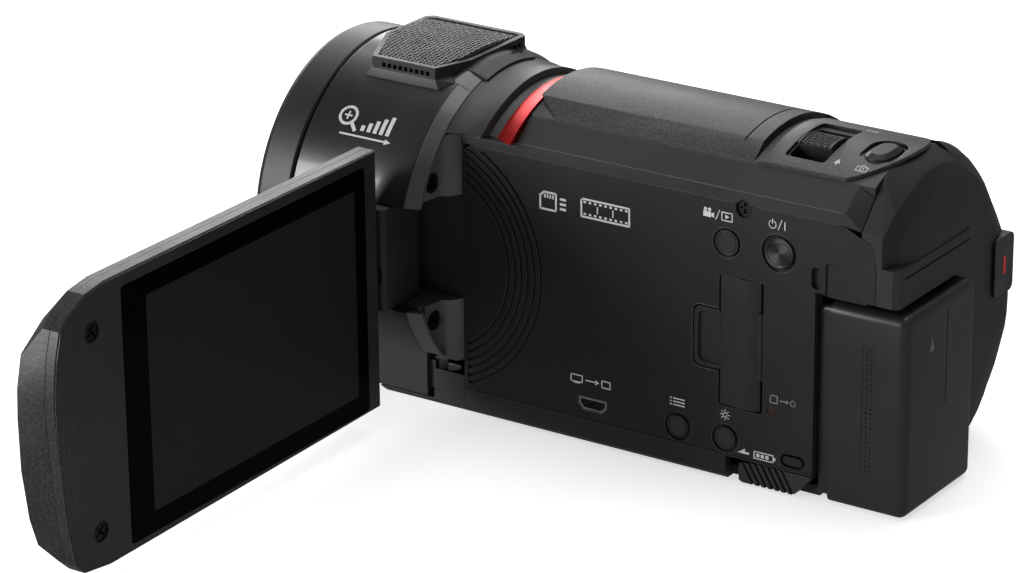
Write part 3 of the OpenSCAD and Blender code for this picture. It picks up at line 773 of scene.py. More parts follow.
def arc(centre: Flat, radius: float, start: float, end: float, steps: int = 12) -> list[Flat]:
    """Gives points along an arc.

    Args:
        centre: Its centre.
        radius: Its radius.
        start: First angle in degrees.
        end: Last angle in degrees.
        steps: Number of steps.

    Returns:
        The points.
    """
    angles = (math.radians(start + (end - start) * i / steps) for i in range(steps + 1))
    return [(centre[0] + radius * math.cos(a), centre[1] + radius * math.sin(a)) for a in angles]


def rounded(low: Flat, high: Flat, radius: float, steps: int = 4) -> list[Flat]:
    """Gives the outline of a rectangle with round corners.

    Args:
        low: Its lower left corner.
        high: Its upper right corner.
        radius: Radius of the corners.
        steps: Steps in each corner.

    Returns:
        The outline's points.
    """
    (x0, y0), (x1, y1) = low, high
    return (
        arc((x1 - radius, y1 - radius), radius, 0, 90, steps)
        + arc((x0 + radius, y1 - radius), radius, 90, 180, steps)
        + arc((x0 + radius, y0 + radius), radius, 180, 270, steps)
        + arc((x1 - radius, y0 + radius), radius, 270, 360, steps)
    )


@dataclass
class Stencil:
    """Shapes of one printed symbol, as flat outlines in millimetres."""

    outlines: list[list[Flat]] = field(default_factory=list)

    def bar(self, x0: float, y0: float, x1: float, y1: float) -> "Stencil":
        """Adds a filled rectangle and returns the stencil."""
        self.outlines.append([(x0, y0), (x1, y0), (x1, y1), (x0, y1)])
        return self

    def shape(self, *corners: Flat) -> "Stencil":
        """Adds a filled outline and returns the stencil."""
        self.outlines.append(list(corners))
        return self

    def disc(self, centre: Flat, radius: float) -> "Stencil":
        """Adds a filled disc and returns the stencil."""
        self.outlines.append(arc(centre, radius, 0, 337.5, 15))
        return self

    def line(self, points: Sequence[Flat], width: float, closed: bool = False) -> "Stencil":
        """Adds a line of even width.

        Args:
            points: Points of its middle.
            width: Its width.
            closed: Whether it returns to its start.

        Returns:
            The stencil.
        """
        path = list(points) + ([points[0]] if closed else [])
        for (ax, ay), (bx, by) in zip(path, path[1:]):
            length = math.hypot(bx - ax, by - ay) or 1.0
            ux, uy = (bx - ax) / length * width / 2, (by - ay) / length * width / 2
            self.outlines.append([
                (ax - ux - uy, ay - uy + ux), (ax - ux + uy, ay - uy - ux),
                (bx + ux + uy, by + uy - ux), (bx + ux - uy, by + uy + ux),
            ])
        return self

    def ring(self, centre: Flat, radius: float, width: float, start: float = 0.0, end: float = 360.0) -> "Stencil":
        """Adds a ring or a part of one.

        Args:
            centre: Its centre.
            radius: Radius of its middle.
            width: Width of its line.
            start: First angle in degrees.
            end: Last angle in degrees.

        Returns:
            The stencil.
        """
        return self.line(arc(centre, radius, start, end, 20), width)


def symbol(kind: Symbol) -> Stencil:
    """Draws a symbol about its own middle, to the right and upwards.

    Args:
        kind: Which symbol.

    Returns:
        Its stencil, in millimetres.
    """
    made = Stencil()
    if kind is Symbol.CARD:
        made.line([(-2.6, -1.7), (-2.6, 1.0), (-1.7, 1.8), (1.0, 1.8), (1.0, -1.7)], 0.42, True)
        for k in range(4):
            made.bar(-1.7 + 0.62 * k, 0.6, -1.36 + 0.62 * k, 1.4)
        made.bar(1.9, -1.3, 3.3, -0.8).bar(1.9, -0.3, 3.3, 0.2).bar(1.9, 0.7, 3.3, 1.2)
    elif kind is Symbol.FILM:
        made.line([(-5.4, -1.8), (-5.4, 1.8), (5.4, 1.8), (5.4, -1.8)], 0.38, True)
        for k in range(9):
            left, right = -4.9 + 1.17 * k, -4.35 + 1.17 * k
            made.bar(left, 1.0, right, 1.42).bar(left, -1.42, right, -1.0)
        made.bar(-1.9, -0.7, -1.65, 0.75).bar(1.6, -0.7, 1.85, 0.75)
    elif kind is Symbol.SHOOT_PLAY:
        made.disc((-2.75, 0.75), 0.36).disc((-1.85, 0.75), 0.36).bar(-3.2, -0.75, -1.5, 0.35)
        made.shape((-1.4, -0.5), (-0.85, -0.7), (-0.85, 0.3), (-1.4, 0.1)).line([(-0.45, -0.9), (0.35, 1.0)], 0.16)
        made.line([(0.85, -0.8), (0.85, 0.8), (3.1, 0.8), (3.1, -0.8)], 0.2, True)
        made.shape((1.6, -0.45), (2.45, 0.0), (1.6, 0.45))
    elif kind is Symbol.POWER:
        made.ring((-1.1, -0.1), 0.75, 0.2, 125, 415).bar(-1.2, 0.05, -1.0, 1.0)
        made.line([(0.15, -0.9), (0.85, 1.0)], 0.16).bar(1.45, -0.85, 1.65, 0.85)
    elif kind is Symbol.SCREEN:
        made.line([(-4.4, -0.65), (-4.4, 0.75), (-1.8, 0.75), (-1.8, -0.65)], 0.22, True)
        made.bar(-3.8, -1.0, -2.4, -0.8)
        made.line([(-0.9, 0.05), (1.5, 0.05)], 0.24).shape((1.2, -0.5), (2.1, 0.05), (1.2, 0.6))
        made.line([(2.7, -0.65), (2.7, 0.75), (4.6, 0.75), (4.6, -0.65)], 0.22, True)
    elif kind is Symbol.MENU:
        for k in range(3):
            low, high = -0.8 + 0.66 * k, -0.55 + 0.66 * k
            made.bar(-1.6, low, -1.2, high).bar(-0.9, low, 1.7, high)
    elif kind is Symbol.SUN:
        made.ring((0.0, 0.0), 0.42, 0.2)
        for k in range(8):
            a = math.radians(45 * k)
            inner, outer = ((r * math.cos(a), r * math.sin(a)) for r in (0.72, 1.02))
            made.line([inner, outer], 0.17)
    elif kind is Symbol.ACCESS:
        made.line([(-2.6, -0.75), (-2.6, 0.4), (-2.25, 0.75), (-1.1, 0.75), (-1.1, -0.75)], 0.2, True)
        made.line([(-0.4, 0.0), (1.0, 0.0)], 0.2).shape((0.8, -0.4), (1.45, 0.0), (0.8, 0.4))
        made.ring((2.3, 0.0), 0.55, 0.2)
    elif kind is Symbol.BATTERY:
        made.shape((-4.6, -0.35), (-2.9, 0.75), (-2.9, 0.1), (-2.0, 0.1), (-2.0, -0.35))
        made.line([(-0.9, -0.7), (-0.9, 0.7), (3.3, 0.7), (3.3, -0.7)], 0.22, True).bar(3.45, -0.3, 3.8, 0.3)
        made.bar(-0.4, -0.35, 0.3, 0.35).bar(0.6, -0.35, 1.3, 0.35).bar(1.6, -0.35, 2.3, 0.35)
    elif kind is Symbol.TREES:
        for at in (-0.85, 0.0, 0.85):
            made.shape((at - 0.36, -0.45), (at + 0.36, -0.45), (at, 0.6)).bar(at - 0.07, -0.75, at + 0.07, -0.45)
    elif kind is Symbol.TREE:
        made.shape((-0.65, -0.35), (0.65, -0.35), (0.0, 1.0)).bar(-0.12, -0.8, 0.12, -0.35)
    elif kind is Symbol.STILL:
        left = [(-1.1, -0.7), (-1.1, 0.45), (-0.5, 0.45), (-0.3, 0.8)]
        made.line(left + [(-x, y) for x, y in reversed(left)], 0.18, True)
        made.ring((0.0, -0.1), 0.34, 0.16)
    elif kind is Symbol.LOUPE:
        made.ring((-6.3, 1.0), 2.5, 0.75).line([(-4.4, -0.9), (-2.8, -2.7)], 1.0)
        made.bar(-7.5, 0.75, -5.1, 1.25).bar(-6.55, -0.2, -6.05, 2.2)
        for k, tall in enumerate((1.6, 2.6, 3.6, 4.6, 5.6)):
            made.bar(-1.0 + 2.0 * k, -2.6, 0.2 + 2.0 * k, -2.6 + tall)
        made.line([(-6.6, -4.3), (8.4, -4.3)], 0.5).shape((7.6, -5.1), (9.6, -4.3), (7.6, -3.5))
    return made


@dataclass
class Printer:
    """Prints symbols on the camcorder as thin films of ink."""

    shop: Workshop
    film: float = 0.03
    clear: float = 0.004
    strip: float = 0.7

    def press(
        self, name: str, kind: Symbol, place: Placer, node: str, ink: str = "white_ink", size: float = 1.0,
        curved: bool = False,
    ) -> None:
        """Prints one symbol.

        Args:
            name: Name of the piece.
            kind: Which symbol.
            place: Turns right, up and outward millimetres into a point.
            node: Frame node it is printed on.
            ink: Key of the ink.
            size: Scale of the symbol.
            curved: Whether the surface is curved across the symbol.
        """
        mesh = bmesh.new()
        for index, outline in enumerate(symbol(kind).outlines):
            lift = 0.0004 * (index % 5)
            drawn = [(u * size * MM, v * size * MM) for u, v in outline]
            prism(mesh, drawn, lambda u, v, h: Vector((u, v, h)), 0.0, 1.0 + lift)
        reach = max(abs(vertex.co.y) for vertex in mesh.verts)
        cuts = int(2 * reach / (self.strip * MM)) if curved else 0
        for k in range(1, cuts):
            everything = mesh.verts[:] + mesh.edges[:] + mesh.faces[:]
            at = (0, -reach + 2 * reach * k / cuts, 0)
            bmesh.ops.bisect_plane(mesh, geom=everything, plane_co=at, plane_no=(0, 1, 0))
        for vertex in mesh.verts:
            u, v, h = vertex.co
            vertex.co = place(u / MM, v / MM, self.clear + self.film * h)
        self.shop.add(name, mesh, ink, node)


def on_left(y: float, z: float, x: float = 23.5) -> Placer:
    """Gives a placer on the left side, with right towards the rear and up upwards."""
    return lambda u, v, h: to_metres(x + h, y + u, z + v)


def on_deck(x: float, y: float, radius: float, lens: Flat = (5.0, 35.2)) -> Placer:
    """Gives a placer on the crown about the lens axis, read from the left side.

    Args:
        x: Sideways place of the middle.
        y: Lengthwise place of the middle.
        radius: Radius of the crown there.
        lens: The lens axis.

    Returns:
        The placer.
    """

    def place(u: float, v: float, h: float) -> Vector:
        """Turns right, up and outward millimetres into a point.

        Args:
            u: Millimetres to the right.
            v: Millimetres upwards.
            h: Millimetres outwards.

        Returns:
            The point in metres.
        """
        across = x - v - lens[0]
        r = radius + h
        return to_metres(lens[0] + across, y + u, lens[1] + math.sqrt(r * r - across * across))

    return place


# ---------------------------------------------------------------- sub-assemblies


@dataclass
class BodyShell:
    """The case with its side, covers, deck, underside and inner parts."""

    shop: Workshop
    printer: Printer
    side_x: float = 23.5
    deck_radius: float = 31.8
    strip_radius: float = 32.55
    seams: tuple[tuple[float, float, float], ...] = ((56.52, -20.0, 39.4), (56.52, 43.8, 62.0), (58.98, -9.0, 62.8))
    wells: tuple[tuple[float, float, float], ...] = (
        (38.0, 48.2, 3.05), (49.3, 48.4, 3.85), (27.5, 8.5, 3.05), (38.1, 8.5, 3.05),
    )
    socket: tuple[Flat, ...] = ((4.9, 9.7), (11.3, 9.7), (11.3, 8.25), (10.25, 7.1), (5.95, 7.1), (4.9, 8.25))
    groove_centre: Flat = (-31.0, 32.0)
    groove_count: int = 6
    groove_pitch: float = 1.5
    groove_edges: Flat = (19.4, 20.2)

    def dress(self) -> None:
        """Gives every node of the case its finish."""
        dress = self.shop.dress
        dress("side", ["left_panel"])
        dress("case", ["grip_rear", "grip_front", "bottom_cover", "front_foot", "battery_plate", "strap_lugs"])
        dress("case", ["top_cover", "rear_cover"], crisp=11.0)
        dress("grip", ["grip_cover"])
        dress("top", ["top_plate", "deck"])
        dress("cast", ["chassis", "card_reader"])
        dress("board", ["main_board"])
        dress("steel", ["tripod_bush", "hdmi_port", "remote_jack"])
        dress("dark_steel", ["case_screws"])
        dress("lamp", ["access_led"])

    def print_left_side(self) -> None:
        """Prints the symbols of the left side."""
        marks = [
            (Symbol.CARD, -1.2, 48.5),
            (Symbol.FILM, 11.0, 48.8),
            (Symbol.SHOOT_PLAY, 36.0, 53.35),
            (Symbol.POWER, 48.9, 54.0),
            (Symbol.SCREEN, 7.5, 13.2),
            (Symbol.MENU, 27.3, 13.5),
            (Symbol.SUN, 38.0, 13.3),
            (Symbol.ACCESS, 50.5, 18.9),
            (Symbol.BATTERY, 45.4, 6.6),
        ]
        for kind, y, z in marks:
            ink = "grey_ink" if kind is Symbol.ACCESS else "white_ink"
            self.printer.press(kind.value + "_symbol", kind, on_left(y, z, self.side_x), "left_panel", ink)

    def print_deck(self) -> None:
        """Prints the symbols of the deck."""
        press = self.printer.press
        press("wide_symbol", Symbol.TREES, on_deck(0.0, 55.6, self.deck_radius), "deck")
        press("tele_symbol", Symbol.TREE, on_deck(15.2, 56.6, self.deck_radius), "deck")
        press("still_symbol", Symbol.STILL, on_deck(15.6, 62.0, self.deck_radius), "deck")
        press("quick_symbol", Symbol.MENU, on_deck(9.5, 38.9, self.strip_radius), "top_plate", "grey_ink", 0.9)

    def on_side(self, y: float, z: float, x: float = 0.0) -> Vector:
        """Gives a point of the left side, raised by some millimetres."""
        return to_metres(self.side_x + x, y, z)

    def seam_highlight_lines(self) -> None:
        """Draws painted highlight lines, in a lighter grey, along the fine moulded edges of the left side and the
        shoulder above it.
        """
        mesh = bmesh.new()
        for z, start, end in self.seams:
            tube(mesh, [self.on_side(start, z), self.on_side((start + end) / 2, z), self.on_side(end, z)], 0.06, 6)
        tube(mesh, [self.on_side(y, z) for y, z in arc((-18.98, 53.4), 3.0, 95, 175, 8)], 0.06, 6)
        tube(mesh, [self.on_side(y, z) for y, z in ((63.0, 56.4), (69.0, 53.6), (69.8, 49.4))], 0.07, 6)
        self.shop.add("seam_highlight_lines", mesh, "edge", "left_panel")

    def groove_highlight_lines(self) -> None:
        """Draws painted highlight lines along the moulded edges of the round grooves."""
        mesh = bmesh.new()
        for k in range(self.groove_count):
            for edge, bar in zip(self.groove_edges, (0.045, 0.03)):
                line = arc(self.groove_centre, edge + self.groove_pitch * k, -80, 80, 90)
                run = [self.on_side(y, z, 0.0) for y, z in line if y > -21.1 and 6.6 < z < 55.4]
                tube(mesh, run, bar, 5)
        self.shop.add("groove_highlight_lines", mesh, "edge", "left_panel")

    def rims(self) -> None:
        """Adds painted highlight lines along the moulded rims of the buttons and the card door, and the rim of the
        socket.
        """
        mesh = bmesh.new()
        for y, z, radius in self.wells:
            tube(mesh, [self.on_side(u, v) for u, v in arc((y, z), radius, 0, 354, 59)], 0.07, 6, True)
        door = rounded((36.35, 15.05), (46.2, 41.85), 0.9)
        tube(mesh, [self.on_side(u, v) for u, v in door], 0.05, 5, True)
        tab = arc((32.3, 33.1), 1.7, 90, 180, 6) + arc((32.3, 23.6), 1.7, 180, 270, 6)
        tube(mesh, [self.on_side(u, v) for u, v in [(36.3, 34.8)] + tab + [(36.3, 21.9)]], 0.08, 6)
        self.shop.add("side_rim_highlights", mesh, "edge", "left_panel")
        rim = bmesh.new()
        tube(rim, [self.on_side(u, v) for u, v in self.socket], 0.13, 6, True)
        self.shop.add("socket_rim", rim, "steel", "hdmi_port")

    def underside(self) -> None:
        """Adds the thin rubber pads and the ring mark of the underside."""
        mesh = bmesh.new()
        for x0, y0, x1, y1 in ((-13.0, -20.0, 13.0, -17.0), (-13.0, 51.0, 8.0, 54.0)):
            prism(mesh, rounded((x0, y0), (x1, y1), 1.2), to_metres, 0.0, 0.35)
        self.shop.add("foot_pads", mesh, "rubber", "bottom_cover")
        ring = bmesh.new()
        turned(ring, [(9.0, 0.0), (9.5, 0.0), (9.5, 0.3), (9.0, 0.3)], to_metres, 64)
        self.shop.add("socket_mark", ring, "edge", "bottom_cover")

    def build(self) -> None:
        """Builds and dresses the whole case."""
        self.dress()
        self.seam_highlight_lines()
        self.groove_highlight_lines()
        self.rims()
        self.underside()
        self.print_left_side()
        self.print_deck()


@dataclass
class LensBarrel:
    """The lens barrel with its rings, front lens and moving groups."""

    shop: Workshop
    printer: Printer
    axis: Flat = (5.0, 35.2)
    radius: float = 33.0
    thread_radius: float = 24.52
    thread_start: float = -61.9
    thread_pitch: float = 0.72
    baffle_radius: float = 23.4
    baffle_start: float = -56.1

    def place(self, u: float, v: float, h: float) -> Vector:
        """Gives a point from right, up and lengthwise millimetres about the lens axis."""
        return to_metres(self.axis[0] + u, h, self.axis[1] + v)

    def dress(self) -> None:
        """Gives every node of the barrel its finish."""
        dress = self.shop.dress
        dress("barrel", ["barrel_cover"])
        dress("ring", ["front_ring"])
        dress("band", ["bevel_band"])
        dress("neck", ["neck"])
        dress("red", ["red_ring"])
        dress("inner", ["lens_hood", "lens_tube", "zoom_group", "focus_group"])
        dress("lens", ["front_lens"])
        dress("steel", ["guide_rods"])
        dress("board", ["image_sensor"])

    def thread(self) -> None:
        """Cuts the accessory thread as fine rings inside the front ring."""
        mesh = bmesh.new()
        for k in range(7):
            y = self.thread_start + self.thread_pitch * k
            profile = [(self.thread_radius, y), (24.2, y + 0.3), (self.thread_radius, y + 0.6)]
            turned(mesh, profile, self.place, 96)
        self.shop.add("thread_rings", mesh, "barrel", "front_ring")

    def baffle(self) -> None:
        """Builds the ribbed light baffle in front of the lens."""
        mesh = bmesh.new()
        for k in range(5):
            r, y = self.baffle_radius - 0.62 * k, self.baffle_start + 1.05 * k
            turned(mesh, [(r + 0.5, y), (r, y + 0.1), (r, y + 0.4), (r + 0.9, y + 0.55)], self.place, 96)
        self.shop.add("baffle_ribs", mesh, "inner", "lens_hood")

    def edge_rings(self) -> None:
        """Adds a painted highlight ring on the fine edge inside the mouth of the front ring."""
        mesh = bmesh.new()
        turned(mesh, [(24.6, -62.52), (25.0, -62.52), (25.0, -62.4), (24.6, -62.4)], self.place, 160)
        self.shop.add("front_edge_highlight_rings", mesh, "edge", "front_ring")

    def barrel_mark(self) -> None:
        """Prints the zoom symbol round the barrel."""
        angle, y = math.radians(45.0), -41.0
        radius = self.radius

        def place(u: float, v: float, h: float) -> Vector:
            """Turns right, up and outward millimetres into a point on the barrel.

            Args:
                u: Millimetres to the right.
                v: Millimetres upwards.
                h: Millimetres outwards.

            Returns:
                The point in metres.
            """
            turn = angle - v / radius
            r = radius + h
            return self.place(r * math.sin(turn), r * math.cos(turn), y + u)

        self.printer.press("zoom_symbol", Symbol.LOUPE, place, "barrel_cover", "white_ink", 0.74, True)

    def build(self) -> None:
        """Builds and dresses the whole barrel."""
        self.dress()
        self.thread()
        self.baffle()
        self.edge_rings()
        self.barrel_mark()


@dataclass
class Microphone:
    """The microphone on top of the barrel."""

    shop: Workshop
    middle: float = 5.4
    arch: float = 83.0
    pitch: float = 0.92
    wave: float = 0.05
    wire: float = 0.2
    low: Flat = (-9.0, -52.0)

    def outline(self, inset: float) -> list[Flat]:
        """Gives the plan of the opening, inset by some millimetres."""
        e = inset
        return [
            (19.2 - e, -46 + e / 2), (19.2 - e, -31 - e / 2), (11, -28 - e), (-7.2, -27.6 - e),
            (-8.4 + e, -29 - e), (-8.4 + e, -50.4 + e), (-7.2 + e / 2, -51.7 + e), (6, -52 + e),
        ]

    def inside(self, x: float, y: float, corners: Sequence[Flat]) -> bool:
        """Tells whether a point lies inside the plan.

        Args:
            x: Sideways place of the point.
            y: Lengthwise place of the point.
            corners: Corners of the plan.

        Returns:
            True when it lies inside.
        """
        hit = False
        for (ax, ay), (bx, by) in zip(corners, list(corners[1:]) + [corners[0]]):
            if (ay > y) != (by > y) and x < (bx - ax) * (y - ay) / (by - ay) + ax:
                hit = not hit
        return hit

    def roof(self, x: float) -> float:
        """Gives the height of the arched mesh in millimetres."""
        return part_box("mic_grille")[1].z / MM - self.arch + math.sqrt(self.arch**2 - (x - self.middle) ** 2)

    def mesh_wires(self) -> None:
        """Weaves the wire mesh over the arched grille."""
        corners = self.outline(1.45)
        mesh = bmesh.new()
        for lengthwise in (True, False):
            first, other = self.low if lengthwise else reversed(self.low)
            for k in range(36):
                at = first + self.pitch * k
                run: list[Vector] = []
                for i in range(140):
                    along = other + self.pitch / 4 * i
                    x, y = (at, along) if lengthwise else (along, at)
                    if self.inside(x, y, corners):
                        turn = math.pi * along / self.pitch + math.pi * (k % 2) + (0 if lengthwise else math.pi)
                        run.append(to_metres(x, y, self.roof(x) + 0.12 + self.wave * math.sin(turn)))
                        continue
                    if len(run) > 2:
                        tube(mesh, run, self.wire, 6)
                    run = []
                if len(run) > 2:
                    tube(mesh, run, self.wire, 6)
        self.shop.add("mic_wires", mesh, "mesh", "mic_grille", 80)

    def dress(self) -> None:
        """Gives the microphone's nodes their finishes."""
        self.shop.dress("case", ["mic_housing"])
        self.shop.dress("inner", ["mic_grille"])
        self.shop.dress("cast", ["mic_capsules"])

    def build(self) -> None:
        """Builds and dresses the microphone."""
        self.dress()
        self.mesh_wires()


@dataclass
class DisplayHinge:
    """The brackets and the two-way hinge of the display."""

    shop: Workshop

    def build(self) -> None:
        """Dresses the hinge."""
        self.shop.dress("bracket", ["bracket_upper", "bracket_lower"])
        self.shop.dress("case", ["hinge_base", "hinge_block"])
        self.shop.dress("steel", ["hinge_pin"])
        self.shop.dress("dark_steel", ["tilt_shaft", "bracket_screws"])


@dataclass
class Display:
    """The fold-out display."""

    shop: Workshop
    picture: tuple[float, float, float, float] = (48.0, 10.2, 111.4, 52.5)
    free_edge: tuple[Flat, ...] = (
        (134.2, 8.2), (136.0, 17.0), (137.1, 30.0), (137.3, 40.0), (136.5, 47.4), (134.9, 53.0), (132.3, 55.4),
    )

    def build(self) -> None:
        """Builds and dresses the display."""
        self.shop.dress("display", ["lcd_back", "lcd_bezel"], crisp=16.0)
        self.shop.dress("glass", ["lcd_glass"])
        self.shop.dress("picture", ["lcd_display"])
        self.shop.dress("dark_steel", ["lcd_screws"])
        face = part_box("lcd_glass")[1].y / MM
        mesh = bmesh.new()
        x0, z0, x1, z1 = self.picture
        outline = rounded((x0, z0), (x1, z1), 0.3)
        prism(mesh, outline, lambda u, v, h: to_metres(u, face + h, v), 0.005, 0.02)
        self.shop.add("picture_window", mesh, "picture", "lcd_glass")
        self.trim()

    def trim(self) -> None:
        """Adds painted highlight lines along the fine edges round the face, and the inlaid line of the outer shell."""
        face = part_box("lcd_bezel")[1].y / MM
        mesh = bmesh.new()
        tube(mesh, [to_metres(x, face - 0.12, z) for x, z in self.free_edge], 0.07, 6)
        tube(mesh, [to_metres(x, face - 0.02, 58.55) for x in (41.0, 80.0, 122.4)], 0.05, 6)
        self.shop.add("display_edge_highlights", mesh, "edge", "lcd_bezel")
        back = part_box("lcd_back")[0].y / MM
        line = bmesh.new()
        inlay = rounded((47.0, 12.5), (126.0, 50.0), 5.0)
        tube(line, [to_metres(x, back, z) for x, z in inlay], 0.09, 6, True)
        self.shop.add("display_back_line", line, "edge", "lcd_back")


@dataclass
class Controls:
    """Buttons, doors and levers."""

    shop: Workshop
    lever_centre: Flat = (9.4, 58.0)
    lever_radius: float = 9.2
    lever_rims: Flat = (47.0, 53.7)

    def build(self) -> None:
        """Dresses the controls."""
        keys = ["mode_button", "menu_button", "light_button", "battery_lever", "zoom_lever", "photo_button"]
        self.shop.dress("key", keys)
        self.shop.dress("spun", ["power_button"])
        self.shop.dress("satin_key", ["rec_button"])
        self.shop.dress("case", ["card_door"])
        self.shop.dress("rubber", ["jack_cover"])
        self.zoom_pad()
        self.record_dash()

    def zoom_pad(self) -> None:
        """Adds the knurled dots and the two side rims of the zoom lever."""
        centre, radius = self.lever_centre, self.lever_radius
        dot = [(0.0, -0.1), (0.24, -0.1), (0.2, 0.12), (0.0, 0.2)]
        mesh = bmesh.new()
        for row in range(9):
            y = 47.75 + 0.68 * row
            for k in range(11):
                a = math.radians(-21.0 + 4.0 * k + (2.0 if row % 2 else 0.0))
                x, z = centre[0] + radius * math.sin(a), centre[1] + radius * math.cos(a)
                turned(mesh, dot, lambda u, v, h, x=x, y=y, z=z: to_metres(x + u, y + v, z + h), 8)
        raised = radius + 0.05
        turns = [math.radians(t) for t in range(-23, 24, 2)]
        for y in self.lever_rims:
            run = [(centre[0] + raised * math.sin(t), centre[1] + raised * math.cos(t)) for t in turns]
            tube(mesh, [to_metres(x, y, z) for x, z in run], 0.22, 8)
        self.shop.add("zoom_pad", mesh, "key", "zoom_lever")

    def record_dash(self) -> None:
        """Adds the red dash and a painted highlight line along the moulded frame of the record button."""
        low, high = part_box("rec_button")
        x, z = (low.x + high.x) / 2 / MM, (low.z + high.z) / 2 / MM
        face = high.y / MM
        mesh = bmesh.new()
        dash = rounded((x - 0.4, z - 1.9), (x + 0.4, z + 1.9), 0.35)
        prism(mesh, dash, lambda u, v, h: to_metres(u, face + h, v), -0.2, 0.05)
        self.shop.add("record_dash", mesh, "red_ink", "rec_button")
        frame_line = bmesh.new()
        outline = rounded((low.x / MM + 1.1, low.z / MM + 1.1), (high.x / MM - 1.1, high.z / MM - 1.1), 1.2)
        tube(frame_line, [to_metres(u, face, v) for u, v in outline], 0.07, 6, True)
        self.shop.add("record_frame_highlight", frame_line, "edge", "rec_button")


@dataclass
class BatteryPack:
    """The slide-on battery."""

    shop: Workshop
    dot_rows: int = 26
    dot_columns: int = 3
    first_dot: Flat = (66.9, 8.4)
    dot_pitch: Flat = (0.95, 0.98)

    def build(self) -> None:
        """Dresses the battery and adds its grip dots."""
        self.shop.dress("pack", ["battery"])
        low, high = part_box("battery")
        mesh = bmesh.new()
        x = high.x / MM
        dot = [(0.0, 0.0), (0.3, 0.0), (0.2, 0.14), (0.0, 0.18)]
        for k in range(self.dot_rows):
            for n in range(self.dot_columns):
                y, z = self.first_dot[0] + self.dot_pitch[0] * n, self.first_dot[1] + self.dot_pitch[1] * k
                turned(mesh, dot, lambda u, v, h, y=y, z=z: to_metres(x + h, y + u, z + v), 10)
        self.shop.add("battery_dots", mesh, "pack", "battery")
        rear = high.y / MM
        mark = bmesh.new()
        prism(mark, [(12.4, 31.4), (14.4, 31.4), (13.4, 34.2)], lambda u, v, h: to_metres(u, rear + h, v), -0.05, 0.03)
        self.shop.add("battery_mark", mark, "edge", "battery")


